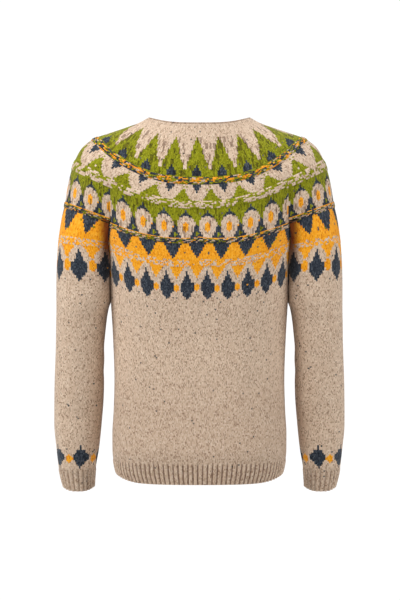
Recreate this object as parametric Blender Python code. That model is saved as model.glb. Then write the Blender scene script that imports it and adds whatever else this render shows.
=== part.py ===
"""Fair isle cardigan, filled out as it is worn.

Metres, +Z up. The origin is the middle of the shoulder line at the height of the neck points.
The front looks along -Y, and the wearer's left is +X. Each knitted piece is a closed wall made
from one smooth surface of the whole garment, so that neighbours meet at their seams.
"""

import math

import bmesh
import bpy
import numpy as np

# Knitted wall, the gap at a seam, and the lift of a piece that lies on another
WALL = 0.0024
SEAM = 0.0004
LAP_CLEARANCE = 0.0004

# Heights of the hem and the cuffs
HEM_EDGE = -0.605
HEM_RIB_TOP = -0.570
CUFF_EDGE = -0.627
CUFF_RIB_TOP = -0.588

# Where the yoke, the body and the sleeve meet at the back and front of the armhole
JUNCTION_X = 0.147
PIT_DROP = 0.055
VALLEY_REACH = 0.050
VALLEY_START_ROW = 4.5
PIT_ROUNDNESS = 2.2
SLEEVE_JUNCTION_ANGLE = math.radians(55.0)
SLEEVE_BLEND = 0.080

# Ribs stand up from the wall's outer face
RIB_PITCH = 0.0076
RIB_RELIEF = 0.0011
RIB_FADE = 0.008

# Button band, buttonhole band and buttons
BAND_HALF_WIDTH = 0.014
BAND_LAP = 0.004
BUTTON_COUNT = 8
BUTTON_RADIUS = 0.0078
BUTTON_THICKNESS = 0.0030
BUTTON_RIM = 0.0013
BUTTON_SIDES = 14
BUTTON_END_MARGIN = 0.018

# Columns between the named places of the garment, for one half
BACK_COLUMNS = 9
UNDERARM_COLUMNS = 5
SHOULDER_COLUMNS = 14
FRONT_COLUMNS = 7
BODY_ROWS = 13
SLEEVE_ROWS = 15
BAND_COLUMNS = 5
BAND_YOKE_ROWS = 10
BAND_BODY_ROWS = 15

# Points along a path whose length is measured, and the small steps that give normals
PATH_SAMPLES = 400
NORMAL_STEP = 1e-4
SEAM_STEP = 1e-3
SEAM_ROW_SHARE = 0.02
ANGLE_TOLERANCE = 1e-6

# Rows lie closer together under the armhole than further down
ROW_CROWDING = 1.35

# Rows of the yoke, with three purl ridges that stand up from the plain knit
YOKE_ROWS = (1.0, 1.75, 2.5, 3.2, 3.79, 4.02, 4.26, 5.0, 5.66, 5.95, 6.25, 7.0, 7.78, 8.0)
RIDGE_ROWS = (4.02, 5.95, 8.0)
RIDGE_RELIEF = 0.0010
RIDGE_SHARE = 0.017

KNIT = {"colour": (0.60, 0.51, 0.41), "roughness": 0.95}
RIB = {"colour": (0.56, 0.47, 0.37), "roughness": 0.95}
HORN = {"colour": (0.13, 0.09, 0.06), "roughness": 0.35}


class Table:
    """Sections in rows, read between the rows along smooth monotone curves."""

    def __init__(self, columns, rows):
        self.columns = columns
        self.rows = np.array(sorted(rows))

    def read(self, column, at):
        """One column's value at any place along the table's first column."""
        known = self.rows[:, 0]
        value = self.rows[:, self.columns.index(column)]
        step = np.diff(known)
        slope = np.diff(value) / step
        tangent = np.concatenate(([slope[0]], np.zeros(len(known) - 2), [slope[-1]]))
        for i in range(1, len(known) - 1):
            if slope[i - 1] * slope[i] > 0:
                before = 2 * step[i] + step[i - 1]
                after = step[i] + 2 * step[i - 1]
                tangent[i] = (before + after) / (before / slope[i - 1] + after / slope[i])
        at = np.clip(at, known[0], known[-1])
        i = np.clip(np.searchsorted(known, at) - 1, 0, len(step) - 1)
        t = (at - known[i]) / step[i]
        return (
            (1 + 2 * t) * (1 - t) ** 2 * value[i]
            + t * (1 - t) ** 2 * step[i] * tangent[i]
            + t * t * (3 - 2 * t) * value[i + 1]
            + t * t * (t - 1) * step[i] * tangent[i + 1]
        )


# The body is a tube of squared ovals from the hem up to the armholes
BODY = Table(
    ("height", "half_width", "back_depth", "front_depth", "squareness"),
    [
        (-0.150, 0.1680, 0.1005, 0.1130, 2.35),
        (-0.200, 0.1618, 0.1040, 0.1185, 2.38),
        (-0.240, 0.1545, 0.1045, 0.1215, 2.40),
        (-0.280, 0.1508, 0.1020, 0.1205, 2.42),
        (-0.320, 0.1488, 0.0980, 0.1165, 2.45),
        (-0.370, 0.1466, 0.0935, 0.1115, 2.45),
        (-0.440, 0.1437, 0.0925, 0.1090, 2.45),
        (-0.490, 0.1448, 0.0965, 0.1095, 2.45),
        (-0.530, 0.1460, 0.1015, 0.1120, 2.45),
        (-0.558, 0.1458, 0.1045, 0.1130, 2.45),
        (-0.575, 0.1440, 0.1035, 0.1115, 2.40),
        (-0.590, 0.1412, 0.1025, 0.1105, 2.40),
        (-0.605, 0.1350, 0.1015, 0.1095, 2.40),
    ],
)

# The yoke runs from the neck edge, row 0, to the top of the body and sleeves, the last row
LAST_ROW = 8.0
YOKE = Table(
    ("row", "half_width", "side_height", "back_depth", "back_height",
     "front_depth", "front_height", "squareness", "rise"),
    [
        (0, 0.0855, 0.0000, 0.0650, -0.0140, 0.0790, -0.0720, 2.15, 3.0),
        (1, 0.1010, -0.0085, 0.0720, -0.0330, 0.0860, -0.0870, 2.15, 3.0),
        (2, 0.1260, -0.0175, 0.0805, -0.0600, 0.0940, -0.1070, 2.12, 2.9),
        (3, 0.1520, -0.0262, 0.0880, -0.0860, 0.1010, -0.1280, 2.10, 2.8),
        (4, 0.1755, -0.0345, 0.0940, -0.1120, 0.1070, -0.1500, 2.05, 2.6),
        (5, 0.1965, -0.0500, 0.0975, -0.1330, 0.1115, -0.1710, 2.00, 2.1),
        (6, 0.2117, -0.0790, 0.1000, -0.1530, 0.1150, -0.1920, 1.95, 1.7),
        (7, 0.2205, -0.1120, 0.1025, -0.1800, 0.1185, -0.2170, 1.92, 1.55),
        (8, 0.2260, -0.1460, 0.1042, -0.2070, 0.1214, -0.2420, 1.90, 1.5),
    ],
)

# The left sleeve's ovals, between the side that faces the body and the outer side
SLEEVE = Table(
    ("height", "inner", "outer", "half_depth", "middle", "squareness", "hug"),
    [
        (-0.146, 0.1520, 0.2260, 0.0585, 0.000, 2.40, 1.0),
        (-0.170, 0.1552, 0.2315, 0.0595, 0.000, 2.40, 1.0),
        (-0.200, 0.1582, 0.2357, 0.0605, 0.000, 2.40, 1.0),
        (-0.240, 0.1562, 0.2388, 0.0605, 0.000, 2.38, 1.0),
        (-0.285, 0.1524, 0.2403, 0.0590, -0.001, 2.38, 0.8),
        (-0.320, 0.1520, 0.2410, 0.0575, -0.002, 2.35, 0.3),
        (-0.370, 0.1580, 0.2422, 0.0545, -0.005, 2.20, 0.0),
        (-0.464, 0.1604, 0.2456, 0.0485, -0.012, 2.10, 0.0),
        (-0.515, 0.1652, 0.2450, 0.0455, -0.017, 2.10, 0.0),
        (-0.558, 0.1700, 0.2414, 0.0425, -0.021, 2.10, 0.0),
        (-0.588, 0.1752, 0.2382, 0.0385, -0.024, 2.10, 0.0),
        (-0.605, 0.1769, 0.2352, 0.0360, -0.026, 2.10, 0.0),
        (-0.627, 0.1782, 0.2292, 0.0345, -0.028, 2.10, 0.0),
    ],
)

# Soft troughs, by place, size and depth; angles run from the middle of the back to the left
BODY_FOLDS = (
    {"angle": 58, "height": -0.355, "half_angle": 9, "half_height": 0.085, "depth": 0.0035},
    {"angle": -61, "height": -0.370, "half_angle": 10, "half_height": 0.075, "depth": 0.0030},
    {"angle": 38, "height": -0.470, "half_angle": 8, "half_height": 0.060, "depth": 0.0022},
    {"angle": -34, "height": -0.455, "half_angle": 9, "half_height": 0.070, "depth": 0.0022},
    {"angle": 128, "height": -0.390, "half_angle": 9, "half_height": 0.090, "depth": 0.0035},
    {"angle": -124, "height": -0.375, "half_angle": 10, "half_height": 0.080, "depth": 0.0030},
)

# Angles on a sleeve run from the side that faces the body to the back
SLEEVE_FOLDS = (
    {"angle": 300, "height": -0.385, "half_angle": 50, "half_height": 0.014, "depth": 0.0035},
    {"angle": 310, "height": -0.425, "half_angle": 45, "half_height": 0.012, "depth": 0.0028},
    {"angle": 60, "height": -0.330, "half_angle": 40, "half_height": 0.018, "depth": 0.0025},
    {"angle": 80, "height": -0.500, "half_angle": 38, "half_height": 0.016, "depth": 0.0020},
)


def signed_power(value, power):
    """A power that keeps the sign."""
    return np.sign(value) * np.abs(value) ** power


def soft_step(value):
    """Rises smoothly from 0 to 1 as the value goes from 0 to 1."""
    value = np.clip(value, 0.0, 1.0)
    return value * value * (3 - 2 * value)


def fold_depth(folds, angle, height):
    """How deep the listed folds press in at each place."""
    total = np.zeros(np.broadcast(angle, height).shape)
    for fold in folds:
        turn = np.degrees(angle) - fold["angle"]
        turn = (turn + 180.0) % 360.0 - 180.0
        across = turn / fold["half_angle"]
        along = (height - fold["height"]) / fold["half_height"]
        total = total + fold["depth"] * np.exp(-across * across - along * along)
    return total


def body_surface(angle, height):
    """Point of the body; the angle runs from the middle of the back to the wearer's left."""
    angle, height = np.broadcast_arrays(angle, height)
    power = 2 / BODY.read("squareness", height)
    depth = np.where(np.cos(angle) > 0, BODY.read("back_depth", height), BODY.read("front_depth", height))
    pressed = 1 - fold_depth(BODY_FOLDS, angle, height) / depth
    x = pressed * BODY.read("half_width", height) * signed_power(np.sin(angle), power)
    y = pressed * depth * signed_power(np.cos(angle), power)
    return np.stack([x, y, height], axis=-1)


def body_reach(across, height, back):
    """How far out in depth the body lies at a distance from its middle plane."""
    squareness = BODY.read("squareness", height)
    depth = np.where(back, BODY.read("back_depth", height), BODY.read("front_depth", height))
    share = np.clip(np.abs(across) / BODY.read("half_width", height), 0, 1)
    return depth * (1 - share**squareness) ** (1 / squareness)


def body_side(along, height):
    """How wide the body is at a distance in front of or behind its side line."""
    squareness = BODY.read("squareness", height)
    depth = np.where(along > 0, BODY.read("back_depth", height), BODY.read("front_depth", height))
    share = np.clip(np.abs(along) / depth, 0, 0.999)
    return BODY.read("half_width", height) * (1 - share**squareness) ** (1 / squareness)


def body_angle(across, height, back):
    """Angle at which the body has the given distance from the middle plane."""
    share = np.clip(np.abs(across) / BODY.read("half_width", height), 0, 1)
    turn = np.arcsin(share ** (BODY.read("squareness", height) / 2))
    return np.where(back, turn, math.pi - turn) * np.where(across < 0, -1, 1)


def yoke_oval(angle, row):
    """The yoke before it is drawn in at the armholes."""
    angle, row = np.broadcast_arrays(angle, row)
    power = 2 / YOKE.read("squareness", row)
    back = np.cos(angle) > 0
    share = np.abs(np.sin(angle)) ** power
    depth = np.where(back, YOKE.read("back_depth", row), YOKE.read("front_depth", row))
    middle = np.where(back, YOKE.read("back_height", row), YOKE.read("front_height", row))
    x = YOKE.read("half_width", row) * signed_power(np.sin(angle), power)
    y = depth * signed_power(np.cos(angle), power)
    z = middle + (YOKE.read("side_height", row) - middle) * share ** YOKE.read("rise", row)
    return np.stack([x, y, z], axis=-1)


def valley(angle):
    """How far the yoke's lower edge moves in depth to meet the body and form the armhole."""
    edge = yoke_oval(angle, LAST_ROW)
    across = np.abs(edge[..., 0])
    back = edge[..., 1] > 0
    held = np.minimum(across, JUNCTION_X)
    share = held / YOKE.read("half_width", LAST_ROW)
    squareness = YOKE.read("squareness", LAST_ROW)
    depth = np.where(back, YOKE.read("back_depth", LAST_ROW), YOKE.read("front_depth", LAST_ROW))
    middle = np.where(back, YOKE.read("back_height", LAST_ROW), YOKE.read("front_height", LAST_ROW))
    rise = share ** YOKE.read("rise", LAST_ROW)
    height = middle + (YOKE.read("side_height", LAST_ROW) - middle) * rise
    oval = depth * (1 - share**squareness) ** (1 / squareness)
    meet = body_reach(held, height, back) - oval
    fade = 1 - soft_step((across - JUNCTION_X) / VALLEY_REACH)
    return np.where(back, 1, -1) * meet * fade


def yoke_surface(angle, row):
    """Point of the yoke or neckband; rows run from the neck edge to the yoke's lower edge."""
    point = yoke_oval(angle, row)
    weight = np.clip((row - VALLEY_START_ROW) / (LAST_ROW - VALLEY_START_ROW), 0, 1) ** 2
    point[..., 1] += weight * valley(angle)
    return point


def yoke_angle(across, row, back):
    """Angle at which the yoke has the given distance from the middle plane."""
    share = np.clip(np.abs(across) / YOKE.read("half_width", row), 0, 1)
    turn = np.arcsin(share ** (YOKE.read("squareness", row) / 2))
    return np.where(back, turn, math.pi - turn) * np.where(across < 0, -1, 1)


JUNCTION_BACK = float(yoke_angle(JUNCTION_X, LAST_ROW, True))
JUNCTION_FRONT = float(yoke_angle(JUNCTION_X, LAST_ROW, False))

# Armhole back, top of the arm and armhole front, as angles on the yoke and on the sleeve
YOKE_PLACES = (JUNCTION_BACK, math.pi / 2, JUNCTION_FRONT)
SLEEVE_PLACES = (SLEEVE_JUNCTION_ANGLE, math.pi, 2 * math.pi - SLEEVE_JUNCTION_ANGLE)


def underarm(along):
    """Body angle and height of the underarm seam, from its back end, 0, to its front end, 1."""
    start = yoke_surface(np.array(JUNCTION_BACK), LAST_ROW)
    end = yoke_surface(np.array(JUNCTION_FRONT), LAST_ROW)
    angle_start = body_angle(start[0], start[2], True)
    angle_end = body_angle(end[0], end[2], False)
    angle = angle_start + (angle_end - angle_start) * along
    dip = PIT_DROP * (1 - np.abs(2 * along - 1) ** PIT_ROUNDNESS)
    return angle, start[2] + (end[2] - start[2]) * along - dip


def sleeve_oval(angle, height):
    """Section of the left sleeve; the angle runs from the body's side to the back."""
    angle, height = np.broadcast_arrays(angle, height)
    inner = SLEEVE.read("inner", height)
    outer = SLEEVE.read("outer", height)
    power = 2 / SLEEVE.read("squareness", height)
    half = (outer - inner) / 2
    pressed = 1 - fold_depth(SLEEVE_FOLDS, angle, height) / half
    x = (inner + outer) / 2 - pressed * half * signed_power(np.cos(angle), power)
    y = pressed * SLEEVE.read("half_depth", height) * signed_power(np.sin(angle), power)
    inward = np.clip((outer - x) / (2 * half), 0, 1) ** 2
    bend = body_side(y, height) - body_side(np.zeros_like(y), height)
    x = x + SLEEVE.read("hug", height) * inward * bend
    return np.stack([x, y + SLEEVE.read("middle", height), height], axis=-1)


def sleeve_top(angle):
    """Upper edge of the left sleeve: the armhole, then the yoke's lower edge over the arm."""
    turn = (angle + math.pi) % (2 * math.pi) - math.pi
    along = (SLEEVE_JUNCTION_ANGLE - turn) / (2 * SLEEVE_JUNCTION_ANGLE)
    body_turn, height = underarm(np.clip(along, 0, 1))
    under = body_surface(body_turn, height)
    around = np.where(turn < 0, turn + 2 * math.pi, turn)
    outer = yoke_surface(np.interp(around, SLEEVE_PLACES, YOKE_PLACES), LAST_ROW)
    inside = (along > 0) & (along < 1)
    return np.where(inside[..., None], under, outer)


def sleeve_surface(angle, drop):
    """Point of the left sleeve; drop goes from 0 at its upper edge to 1 at the cuff."""
    top = sleeve_top(angle)
    height = top[..., 2] + (CUFF_RIB_TOP - top[..., 2]) * drop
    fade = 1 - soft_step((top[..., 2] - height) / SLEEVE_BLEND)
    return sleeve_oval(angle, height) + (top - sleeve_oval(angle, top[..., 2])) * fade[..., None]


def surface_normals(surface, first, second, outward):
    """Unit normals by small steps along both directions of a surface."""
    one = surface(first + NORMAL_STEP, second) - surface(first - NORMAL_STEP, second)
    two = surface(first, second + NORMAL_STEP) - surface(first, second - NORMAL_STEP)
    normal = np.cross(two, one)
    normal /= np.linalg.norm(normal, axis=-1, keepdims=True)
    return normal * outward


def wall(name, outer, inner, look, closed=False):
    """Close an outer and an inner grid of points, rows by columns, into one named solid."""
    rows, columns = outer.shape[:2]
    mesh = bpy.data.meshes.new(name)
    verts = np.concatenate([outer.reshape(-1, 3), inner.reshape(-1, 3)])
    layer = rows * columns
    spans = columns if closed else columns - 1
    faces = []

    def at(row, column, side):
        return side * layer + row * columns + column % columns

    for row in range(rows - 1):
        for column in range(spans):
            corners = ((row, column), (row, column + 1), (row + 1, column + 1), (row + 1, column))
            faces.append([at(r, c, 0) for r, c in corners])
            faces.append([at(r, c, 1) for r, c in reversed(corners)])
    for row in (0, rows - 1):
        for column in range(spans):
            start, end = (at(row, column, side) for side in (0, 1))
            faces.append([at(row, column + 1, 0), start, end, at(row, column + 1, 1)])
    if not closed:
        for column in (0, columns - 1):
            for row in range(rows - 1):
                start, end = (at(row, column, side) for side in (0, 1))
                faces.append([start, at(row + 1, column, 0), at(row + 1, column, 1), end])
    mesh.from_pydata([tuple(v) for v in verts], [], faces)
    shape = bmesh.new()
    shape.from_mesh(mesh)
    bmesh.ops.recalc_face_normals(shape, faces=shape.faces)
    if shape.calc_volume(signed=True) < 0:
        bmesh.ops.reverse_faces(shape, faces=shape.faces)
    bmesh.ops.triangulate(shape, faces=shape.faces, quad_method="SHORT_EDGE")
    shape.to_mesh(mesh)
    shape.free()
    mesh.shade_smooth()
    mesh.set_sharp_from_angle(angle=math.radians(40))
    mesh.materials.append(material(name, look))
    piece = bpy.data.objects.new(name, mesh)
    bpy.context.scene.collection.objects.link(piece)
    return piece


def material(name, look):
    """The piece's own finish."""
    finish = bpy.data.materials.new(name + "_finish")
    finish.use_nodes = True
    shader = finish.node_tree.nodes["Principled BSDF"]
    shader.inputs["Base Color"].default_value = (*look["colour"], 1.0)
    shader.inputs["Roughness"].default_value = look["roughness"]
    shader.inputs["Metallic"].default_value = 0.0
    return finish


def mirrored(points):
    """The same points on the wearer's right."""
    return points * np.array([-1.0, 1.0, 1.0])


def yoke_columns():
    """Angles along the yoke's left half, as shares of the way to the front edge."""
    back = np.linspace(0, JUNCTION_BACK, BACK_COLUMNS + 1)
    over = np.linspace(JUNCTION_BACK, math.pi / 2, SHOULDER_COLUMNS // 2 + 1)
    fore = np.linspace(math.pi / 2, JUNCTION_FRONT, SHOULDER_COLUMNS // 2 + 1)
    edge = float(yoke_angle(BAND_HALF_WIDTH + SEAM, LAST_ROW, False))
    front = np.linspace(JUNCTION_FRONT, edge, FRONT_COLUMNS + 1)
    return np.concatenate([back, over[1:], fore[1:], front[1:]])


def yoke_grid(rows):
    """Outer and inner points of the whole yoke or neckband, from left front edge to right."""
    columns = yoke_columns()
    row = np.array(rows)[:, None]
    edge = yoke_angle(BAND_HALF_WIDTH + SEAM, row, False)
    stretch = (edge - JUNCTION_FRONT) / (columns[-1] - JUNCTION_FRONT)
    beyond = np.maximum(columns[None, :] - JUNCTION_FRONT, 0)
    angle = np.minimum(columns[None, :], JUNCTION_FRONT) + beyond * stretch
    row = np.broadcast_to(row, angle.shape)
    outer = yoke_surface(angle, row)
    normal = surface_normals(yoke_surface, angle, row, -1)
    if rows[-1] == LAST_ROW:
        normal[-1] = seam_normals(columns)
    outer[0, :, 2] -= SEAM / 2 if rows[0] > 0 else 0
    outer[-1, :, 2] += SEAM / 2
    inner = outer - WALL * normal
    ridge = RIDGE_RELIEF * np.isin(row, RIDGE_ROWS)
    ridge[:, -1] = 0
    outer = outer + ridge[..., None] * normal
    left = (outer[:, ::-1], inner[:, ::-1])
    return [np.concatenate([half, mirrored(half[:, -2::-1])], axis=1) for half in left]


def seam_normals(angle):
    """Normals that the yoke, the body and the sleeve share along the yoke's lower edge."""
    row = np.full_like(angle, LAST_ROW - SEAM_ROW_SHARE)
    yoke = surface_normals(yoke_surface, angle, row, -1)
    edge = yoke_surface(angle, np.full_like(angle, LAST_ROW))
    turn = body_angle(edge[..., 0], edge[..., 2], edge[..., 1] > 0)
    body = surface_normals(body_surface, turn, edge[..., 2] - SEAM_STEP, 1)
    over = np.interp(angle, YOKE_PLACES, SLEEVE_PLACES)
    sleeve = surface_normals(sleeve_oval, over, edge[..., 2] - SEAM_STEP, 1)
    on_sleeve = ((angle > JUNCTION_BACK) & (angle < JUNCTION_FRONT))[..., None]
    shared = yoke + np.where(on_sleeve, sleeve, body)
    return shared / np.linalg.norm(shared, axis=-1, keepdims=True)


def body_columns():
    """Angle, height and normal at the top of each column of the left half, back to front."""
    yoke = yoke_columns()
    back = yoke[: BACK_COLUMNS + 1]
    front = yoke[BACK_COLUMNS + SHOULDER_COLUMNS :]
    back_edge = yoke_surface(back, np.full_like(back, LAST_ROW))
    front_edge = yoke_surface(front, np.full_like(front, LAST_ROW))
    along = np.linspace(0, 1, 2 * UNDERARM_COLUMNS + 1)[1:-1]
    under_angle, under_height = underarm(along)
    back_angle = body_angle(back_edge[:, 0], back_edge[:, 2], True)
    front_angle = body_angle(front_edge[:, 0], front_edge[:, 2], False)
    angle = np.concatenate([back_angle, under_angle, front_angle])
    height = np.concatenate([back_edge[:, 2], under_height, front_edge[:, 2]])
    under_normal = surface_normals(body_surface, under_angle, under_height, 1)
    normal = np.concatenate([seam_normals(back), under_normal, seam_normals(front)])
    return angle, height, normal


SIDE_COLUMN = BACK_COLUMNS + UNDERARM_COLUMNS


def row_shares(rows):
    """How far down each row lies: the foot of the purl ridge, then rows that spread apart."""
    return np.insert(np.linspace(0, 1, rows) ** ROW_CROWDING, 1, RIDGE_SHARE)[:, None]


def body_grid():
    """Outer and inner points of the body's left half, rows by columns, back to front."""
    angle, top, top_normal = body_columns()
    share = row_shares(BODY_ROWS)
    height = top[None, :] + (HEM_RIB_TOP - top[None, :]) * share
    across = np.full_like(height, BAND_HALF_WIDTH + SEAM)
    edge = body_angle(across, height, False)
    turn = np.broadcast_to(angle[None, :], height.shape).copy()
    first = BACK_COLUMNS + 2 * UNDERARM_COLUMNS
    stretch = (angle[None, first:] - angle[first]) / (angle[-1] - angle[first])
    turn[:, first:] = angle[first] + stretch * (edge[:, first:] - angle[first])
    outer = body_surface(turn, height)
    normal = surface_normals(body_surface, turn, height, 1)
    normal[0] = top_normal
    outer[0, :, 2] -= SEAM / 2
    outer[-1, :, 2] += SEAM / 2
    inner = outer - WALL * normal
    on_yoke = np.abs(np.arange(len(angle)) - SIDE_COLUMN) >= UNDERARM_COLUMNS
    on_yoke[-1] = False
    outer[0] += RIDGE_RELIEF * on_yoke[:, None] * normal[0]
    return outer, inner


def side_gap(points, sign):
    """Draw the last column at the side back from the side seam."""
    moved = points.copy()
    moved[:, -1 if sign > 0 else 0, 1] += sign * SEAM / 2
    return moved


def body_panels():
    """Back panel and two fronts."""
    outer, inner = body_grid()
    back = []
    front = []
    for layer in (outer, inner):
        half = side_gap(layer[:, : SIDE_COLUMN + 1], 1)
        back.append(np.concatenate([half[:, ::-1], mirrored(half[:, 1:])], axis=1))
        front.append(side_gap(layer[:, SIDE_COLUMN:], -1))
    wall("back", *back, KNIT)
    wall("front_left", *front, KNIT)
    wall("front_right", *[mirrored(layer) for layer in front], KNIT)


def lengths_along(path):
    """Length from the path's first point to each of its points."""
    steps = np.linalg.norm(np.diff(path, axis=0), axis=1)
    return np.concatenate([[0], np.cumsum(steps)])


def rib_relief(count, distance_from_edge=None):
    """Height of each rib point over the wall: up on even points, level on odd ones."""
    relief = RIB_RELIEF * (np.arange(count) % 2 == 0)
    if distance_from_edge is not None:
        relief = relief * soft_step(distance_from_edge / RIB_FADE)
    return relief


def hem_strip(start, end, from_edge):
    """Ribbed hem between two body angles; ribs fade towards the front opening."""
    height = np.array([HEM_RIB_TOP - SEAM / 2, (HEM_RIB_TOP + HEM_EDGE) / 2, HEM_EDGE])[:, None]
    fine = np.linspace(start, end, PATH_SAMPLES)
    length = lengths_along(body_surface(fine, HEM_EDGE))
    points = 2 * round(length[-1] / RIB_PITCH) + 1
    place = np.linspace(0, length[-1], points)
    angle, level = np.broadcast_arrays(np.interp(place, length, fine)[None, :], height)
    base = body_surface(angle, level)
    normal = surface_normals(body_surface, angle, level, 1)
    relief = rib_relief(points, from_edge(place, length[-1]))
    return base + relief[None, :, None] * normal, base - WALL * normal


def hem_ribs():
    """The hem's rib on the back and on each front."""
    side = math.pi / 2
    gap = math.asin(SEAM / 2 / float(BODY.read("back_depth", HEM_EDGE)))
    edge = float(body_angle(BAND_HALF_WIDTH + SEAM, HEM_EDGE, False))
    back = hem_strip(side - gap, -side + gap, lambda place, whole: np.ones_like(place))
    wall("hem_rib_back", *back, RIB)
    front = hem_strip(side + gap, edge, lambda place, whole: whole - place)
    wall("hem_rib_front_left", *front, RIB)
    wall("hem_rib_front_right", *[mirrored(layer) for layer in front], RIB)


def sleeve_columns():
    """Angles round the sleeve that meet the yoke's and the body's columns."""
    under = np.linspace(SLEEVE_JUNCTION_ANGLE, -SLEEVE_JUNCTION_ANGLE, 2 * UNDERARM_COLUMNS + 1)
    half = SHOULDER_COLUMNS // 2 + 1
    over = np.linspace(SLEEVE_PLACES[0], SLEEVE_PLACES[1], half)
    fore = np.linspace(SLEEVE_PLACES[1], SLEEVE_PLACES[2], half)
    return np.concatenate([over, fore[1:-1], under[:0:-1] + 2 * math.pi])


def sleeves():
    """Two sleeves, whose upper edges close round the armholes."""
    angle = sleeve_columns()
    turn, drop = np.broadcast_arrays(angle[None, :], row_shares(SLEEVE_ROWS))
    outer = sleeve_surface(turn, drop)
    normal = surface_normals(sleeve_surface, turn, drop, -1)
    on_yoke = (angle < SLEEVE_PLACES[2] + ANGLE_TOLERANCE)[:, None]
    shared = seam_normals(np.interp(angle, SLEEVE_PLACES, YOKE_PLACES))
    normal[0] = np.where(on_yoke, shared, normal[0])
    outer[0, :, 2] -= SEAM / 2
    outer[-1, :, 2] += SEAM / 2
    facing = np.cos(angle) - math.cos(SLEEVE_JUNCTION_ANGLE)
    at_junction = np.abs(facing) <= ANGLE_TOLERANCE
    outer[0, :, 0] += np.where(facing > ANGLE_TOLERANCE, 1.5 * SEAM, SEAM * at_junction)
    inner = outer - WALL * normal
    outer[0] += RIDGE_RELIEF * on_yoke * normal[0]
    wall("sleeve_left", outer, inner, KNIT, closed=True)
    wall("sleeve_right", mirrored(outer), mirrored(inner), KNIT, closed=True)


def cuffs():
    """Ribbed cuffs below the sleeves."""
    height = np.array([CUFF_RIB_TOP - SEAM / 2, (CUFF_RIB_TOP + CUFF_EDGE) / 2, CUFF_EDGE])[:, None]
    fine = np.linspace(0, 2 * math.pi, PATH_SAMPLES)
    length = lengths_along(sleeve_oval(fine, CUFF_EDGE))
    points = 2 * round(length[-1] / RIB_PITCH)
    place = np.linspace(0, length[-1], points, endpoint=False)
    angle, level = np.broadcast_arrays(np.interp(place, length, fine)[None, :], height)
    base = sleeve_oval(angle, level)
    normal = surface_normals(sleeve_oval, angle, level, 1)
    outer = base + rib_relief(points)[None, :, None] * normal
    inner = base - WALL * normal
    wall("cuff_left", outer, inner, RIB, closed=True)
    wall("cuff_right", mirrored(outer), mirrored(inner), RIB, closed=True)


def opening_path():
    """Stations down the front opening: yoke rows first, then heights on the body."""
    top = YOKE.read("front_height", LAST_ROW)
    yoke = [("yoke", row) for row in np.linspace(0, LAST_ROW, BAND_YOKE_ROWS)]
    body = [("body", height) for height in np.linspace(top, HEM_EDGE, BAND_BODY_ROWS)[1:]]
    return yoke + body


def opening_surface(across, station):
    """Point and normal of the front at a distance from the middle, at one station."""
    kind, place = station
    place = np.full_like(across, place)
    if kind == "yoke":
        angle = yoke_angle(across, place, False)
        return yoke_surface(angle, place), surface_normals(yoke_surface, angle, place, -1)
    angle = body_angle(across, place, False)
    return body_surface(angle, place), surface_normals(body_surface, angle, place, 1)


def front_bands():
    """Button band between the fronts, and the buttonhole band lapped over it."""
    level = {"button_band": 0.0, "buttonhole_band": WALL + LAP_CLEARANCE}
    start = {"button_band": -BAND_HALF_WIDTH, "buttonhole_band": -BAND_HALF_WIDTH - BAND_LAP}
    for name in level:
        across = np.linspace(start[name], BAND_HALF_WIDTH, BAND_COLUMNS)
        outer = []
        inner = []
        for station in opening_path():
            point, normal = opening_surface(across, station)
            outer.append(point + level[name] * normal)
            inner.append(point + (level[name] - WALL) * normal)
        wall(name, np.array(outer), np.array(inner), RIB)


def button_places():
    """Middle of each button on the buttonhole band, and the way it faces."""
    middle = np.zeros(1)
    stations = [opening_surface(middle, station) for station in opening_path()]
    points = np.array([point[0] for point, _ in stations])
    normals = np.array([normal[0] for _, normal in stations])
    length = lengths_along(points)
    for place in np.linspace(BUTTON_END_MARGIN, length[-1] - BUTTON_END_MARGIN, BUTTON_COUNT):
        point = np.array([np.interp(place, length, points[:, axis]) for axis in range(3)])
        normal = np.array([np.interp(place, length, normals[:, axis]) for axis in range(3)])
        normal /= np.linalg.norm(normal)
        yield point + (WALL + 2 * LAP_CLEARANCE) * normal, normal


def buttons():
    """Turned buttons with a raised rim, one node each."""
    radius = BUTTON_RADIUS
    profile = (
        (0.0, 0.0),
        (0.80 * radius, 0.0),
        (radius, 0.45 * BUTTON_THICKNESS),
        (radius - 0.4 * BUTTON_RIM, BUTTON_THICKNESS),
        (radius - BUTTON_RIM, BUTTON_THICKNESS),
        (radius - 1.8 * BUTTON_RIM, 0.62 * BUTTON_THICKNESS),
        (0.0, 0.62 * BUTTON_THICKNESS),
    )
    for number, (place, facing) in enumerate(button_places(), start=1):
        name = f"button_{number}"
        side = np.cross(facing, (1.0, 0.0, 0.0))
        side /= np.linalg.norm(side)
        other = np.cross(facing, side)
        shape = bmesh.new()
        rings = []
        for distance, lift in profile:
            count = BUTTON_SIDES if distance > 0 else 1
            ring = []
            for i in range(count):
                turn = 2 * math.pi * i / BUTTON_SIDES
                spoke = math.cos(turn) * side + math.sin(turn) * other
                ring.append(shape.verts.new(place + distance * spoke + lift * facing))
            rings.append(ring)
        for inner, outer in zip(rings, rings[1:]):
            for i in range(BUTTON_SIDES):
                after = (i + 1) % BUTTON_SIDES
                if len(inner) == 1:
                    shape.faces.new((inner[0], outer[i], outer[after]))
                elif len(outer) == 1:
                    shape.faces.new((inner[i], outer[0], inner[after]))
                else:
                    shape.faces.new((inner[i], outer[i], outer[after], inner[after]))
        bmesh.ops.recalc_face_normals(shape, faces=shape.faces)
        if shape.calc_volume(signed=True) < 0:
            bmesh.ops.reverse_faces(shape, faces=shape.faces)
        mesh = bpy.data.meshes.new(name)
        shape.to_mesh(mesh)
        shape.free()
        mesh.shade_smooth()
        mesh.set_sharp_from_angle(angle=math.radians(35))
        mesh.materials.append(material(name, HORN))
        bpy.context.scene.collection.objects.link(bpy.data.objects.new(name, mesh))


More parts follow.
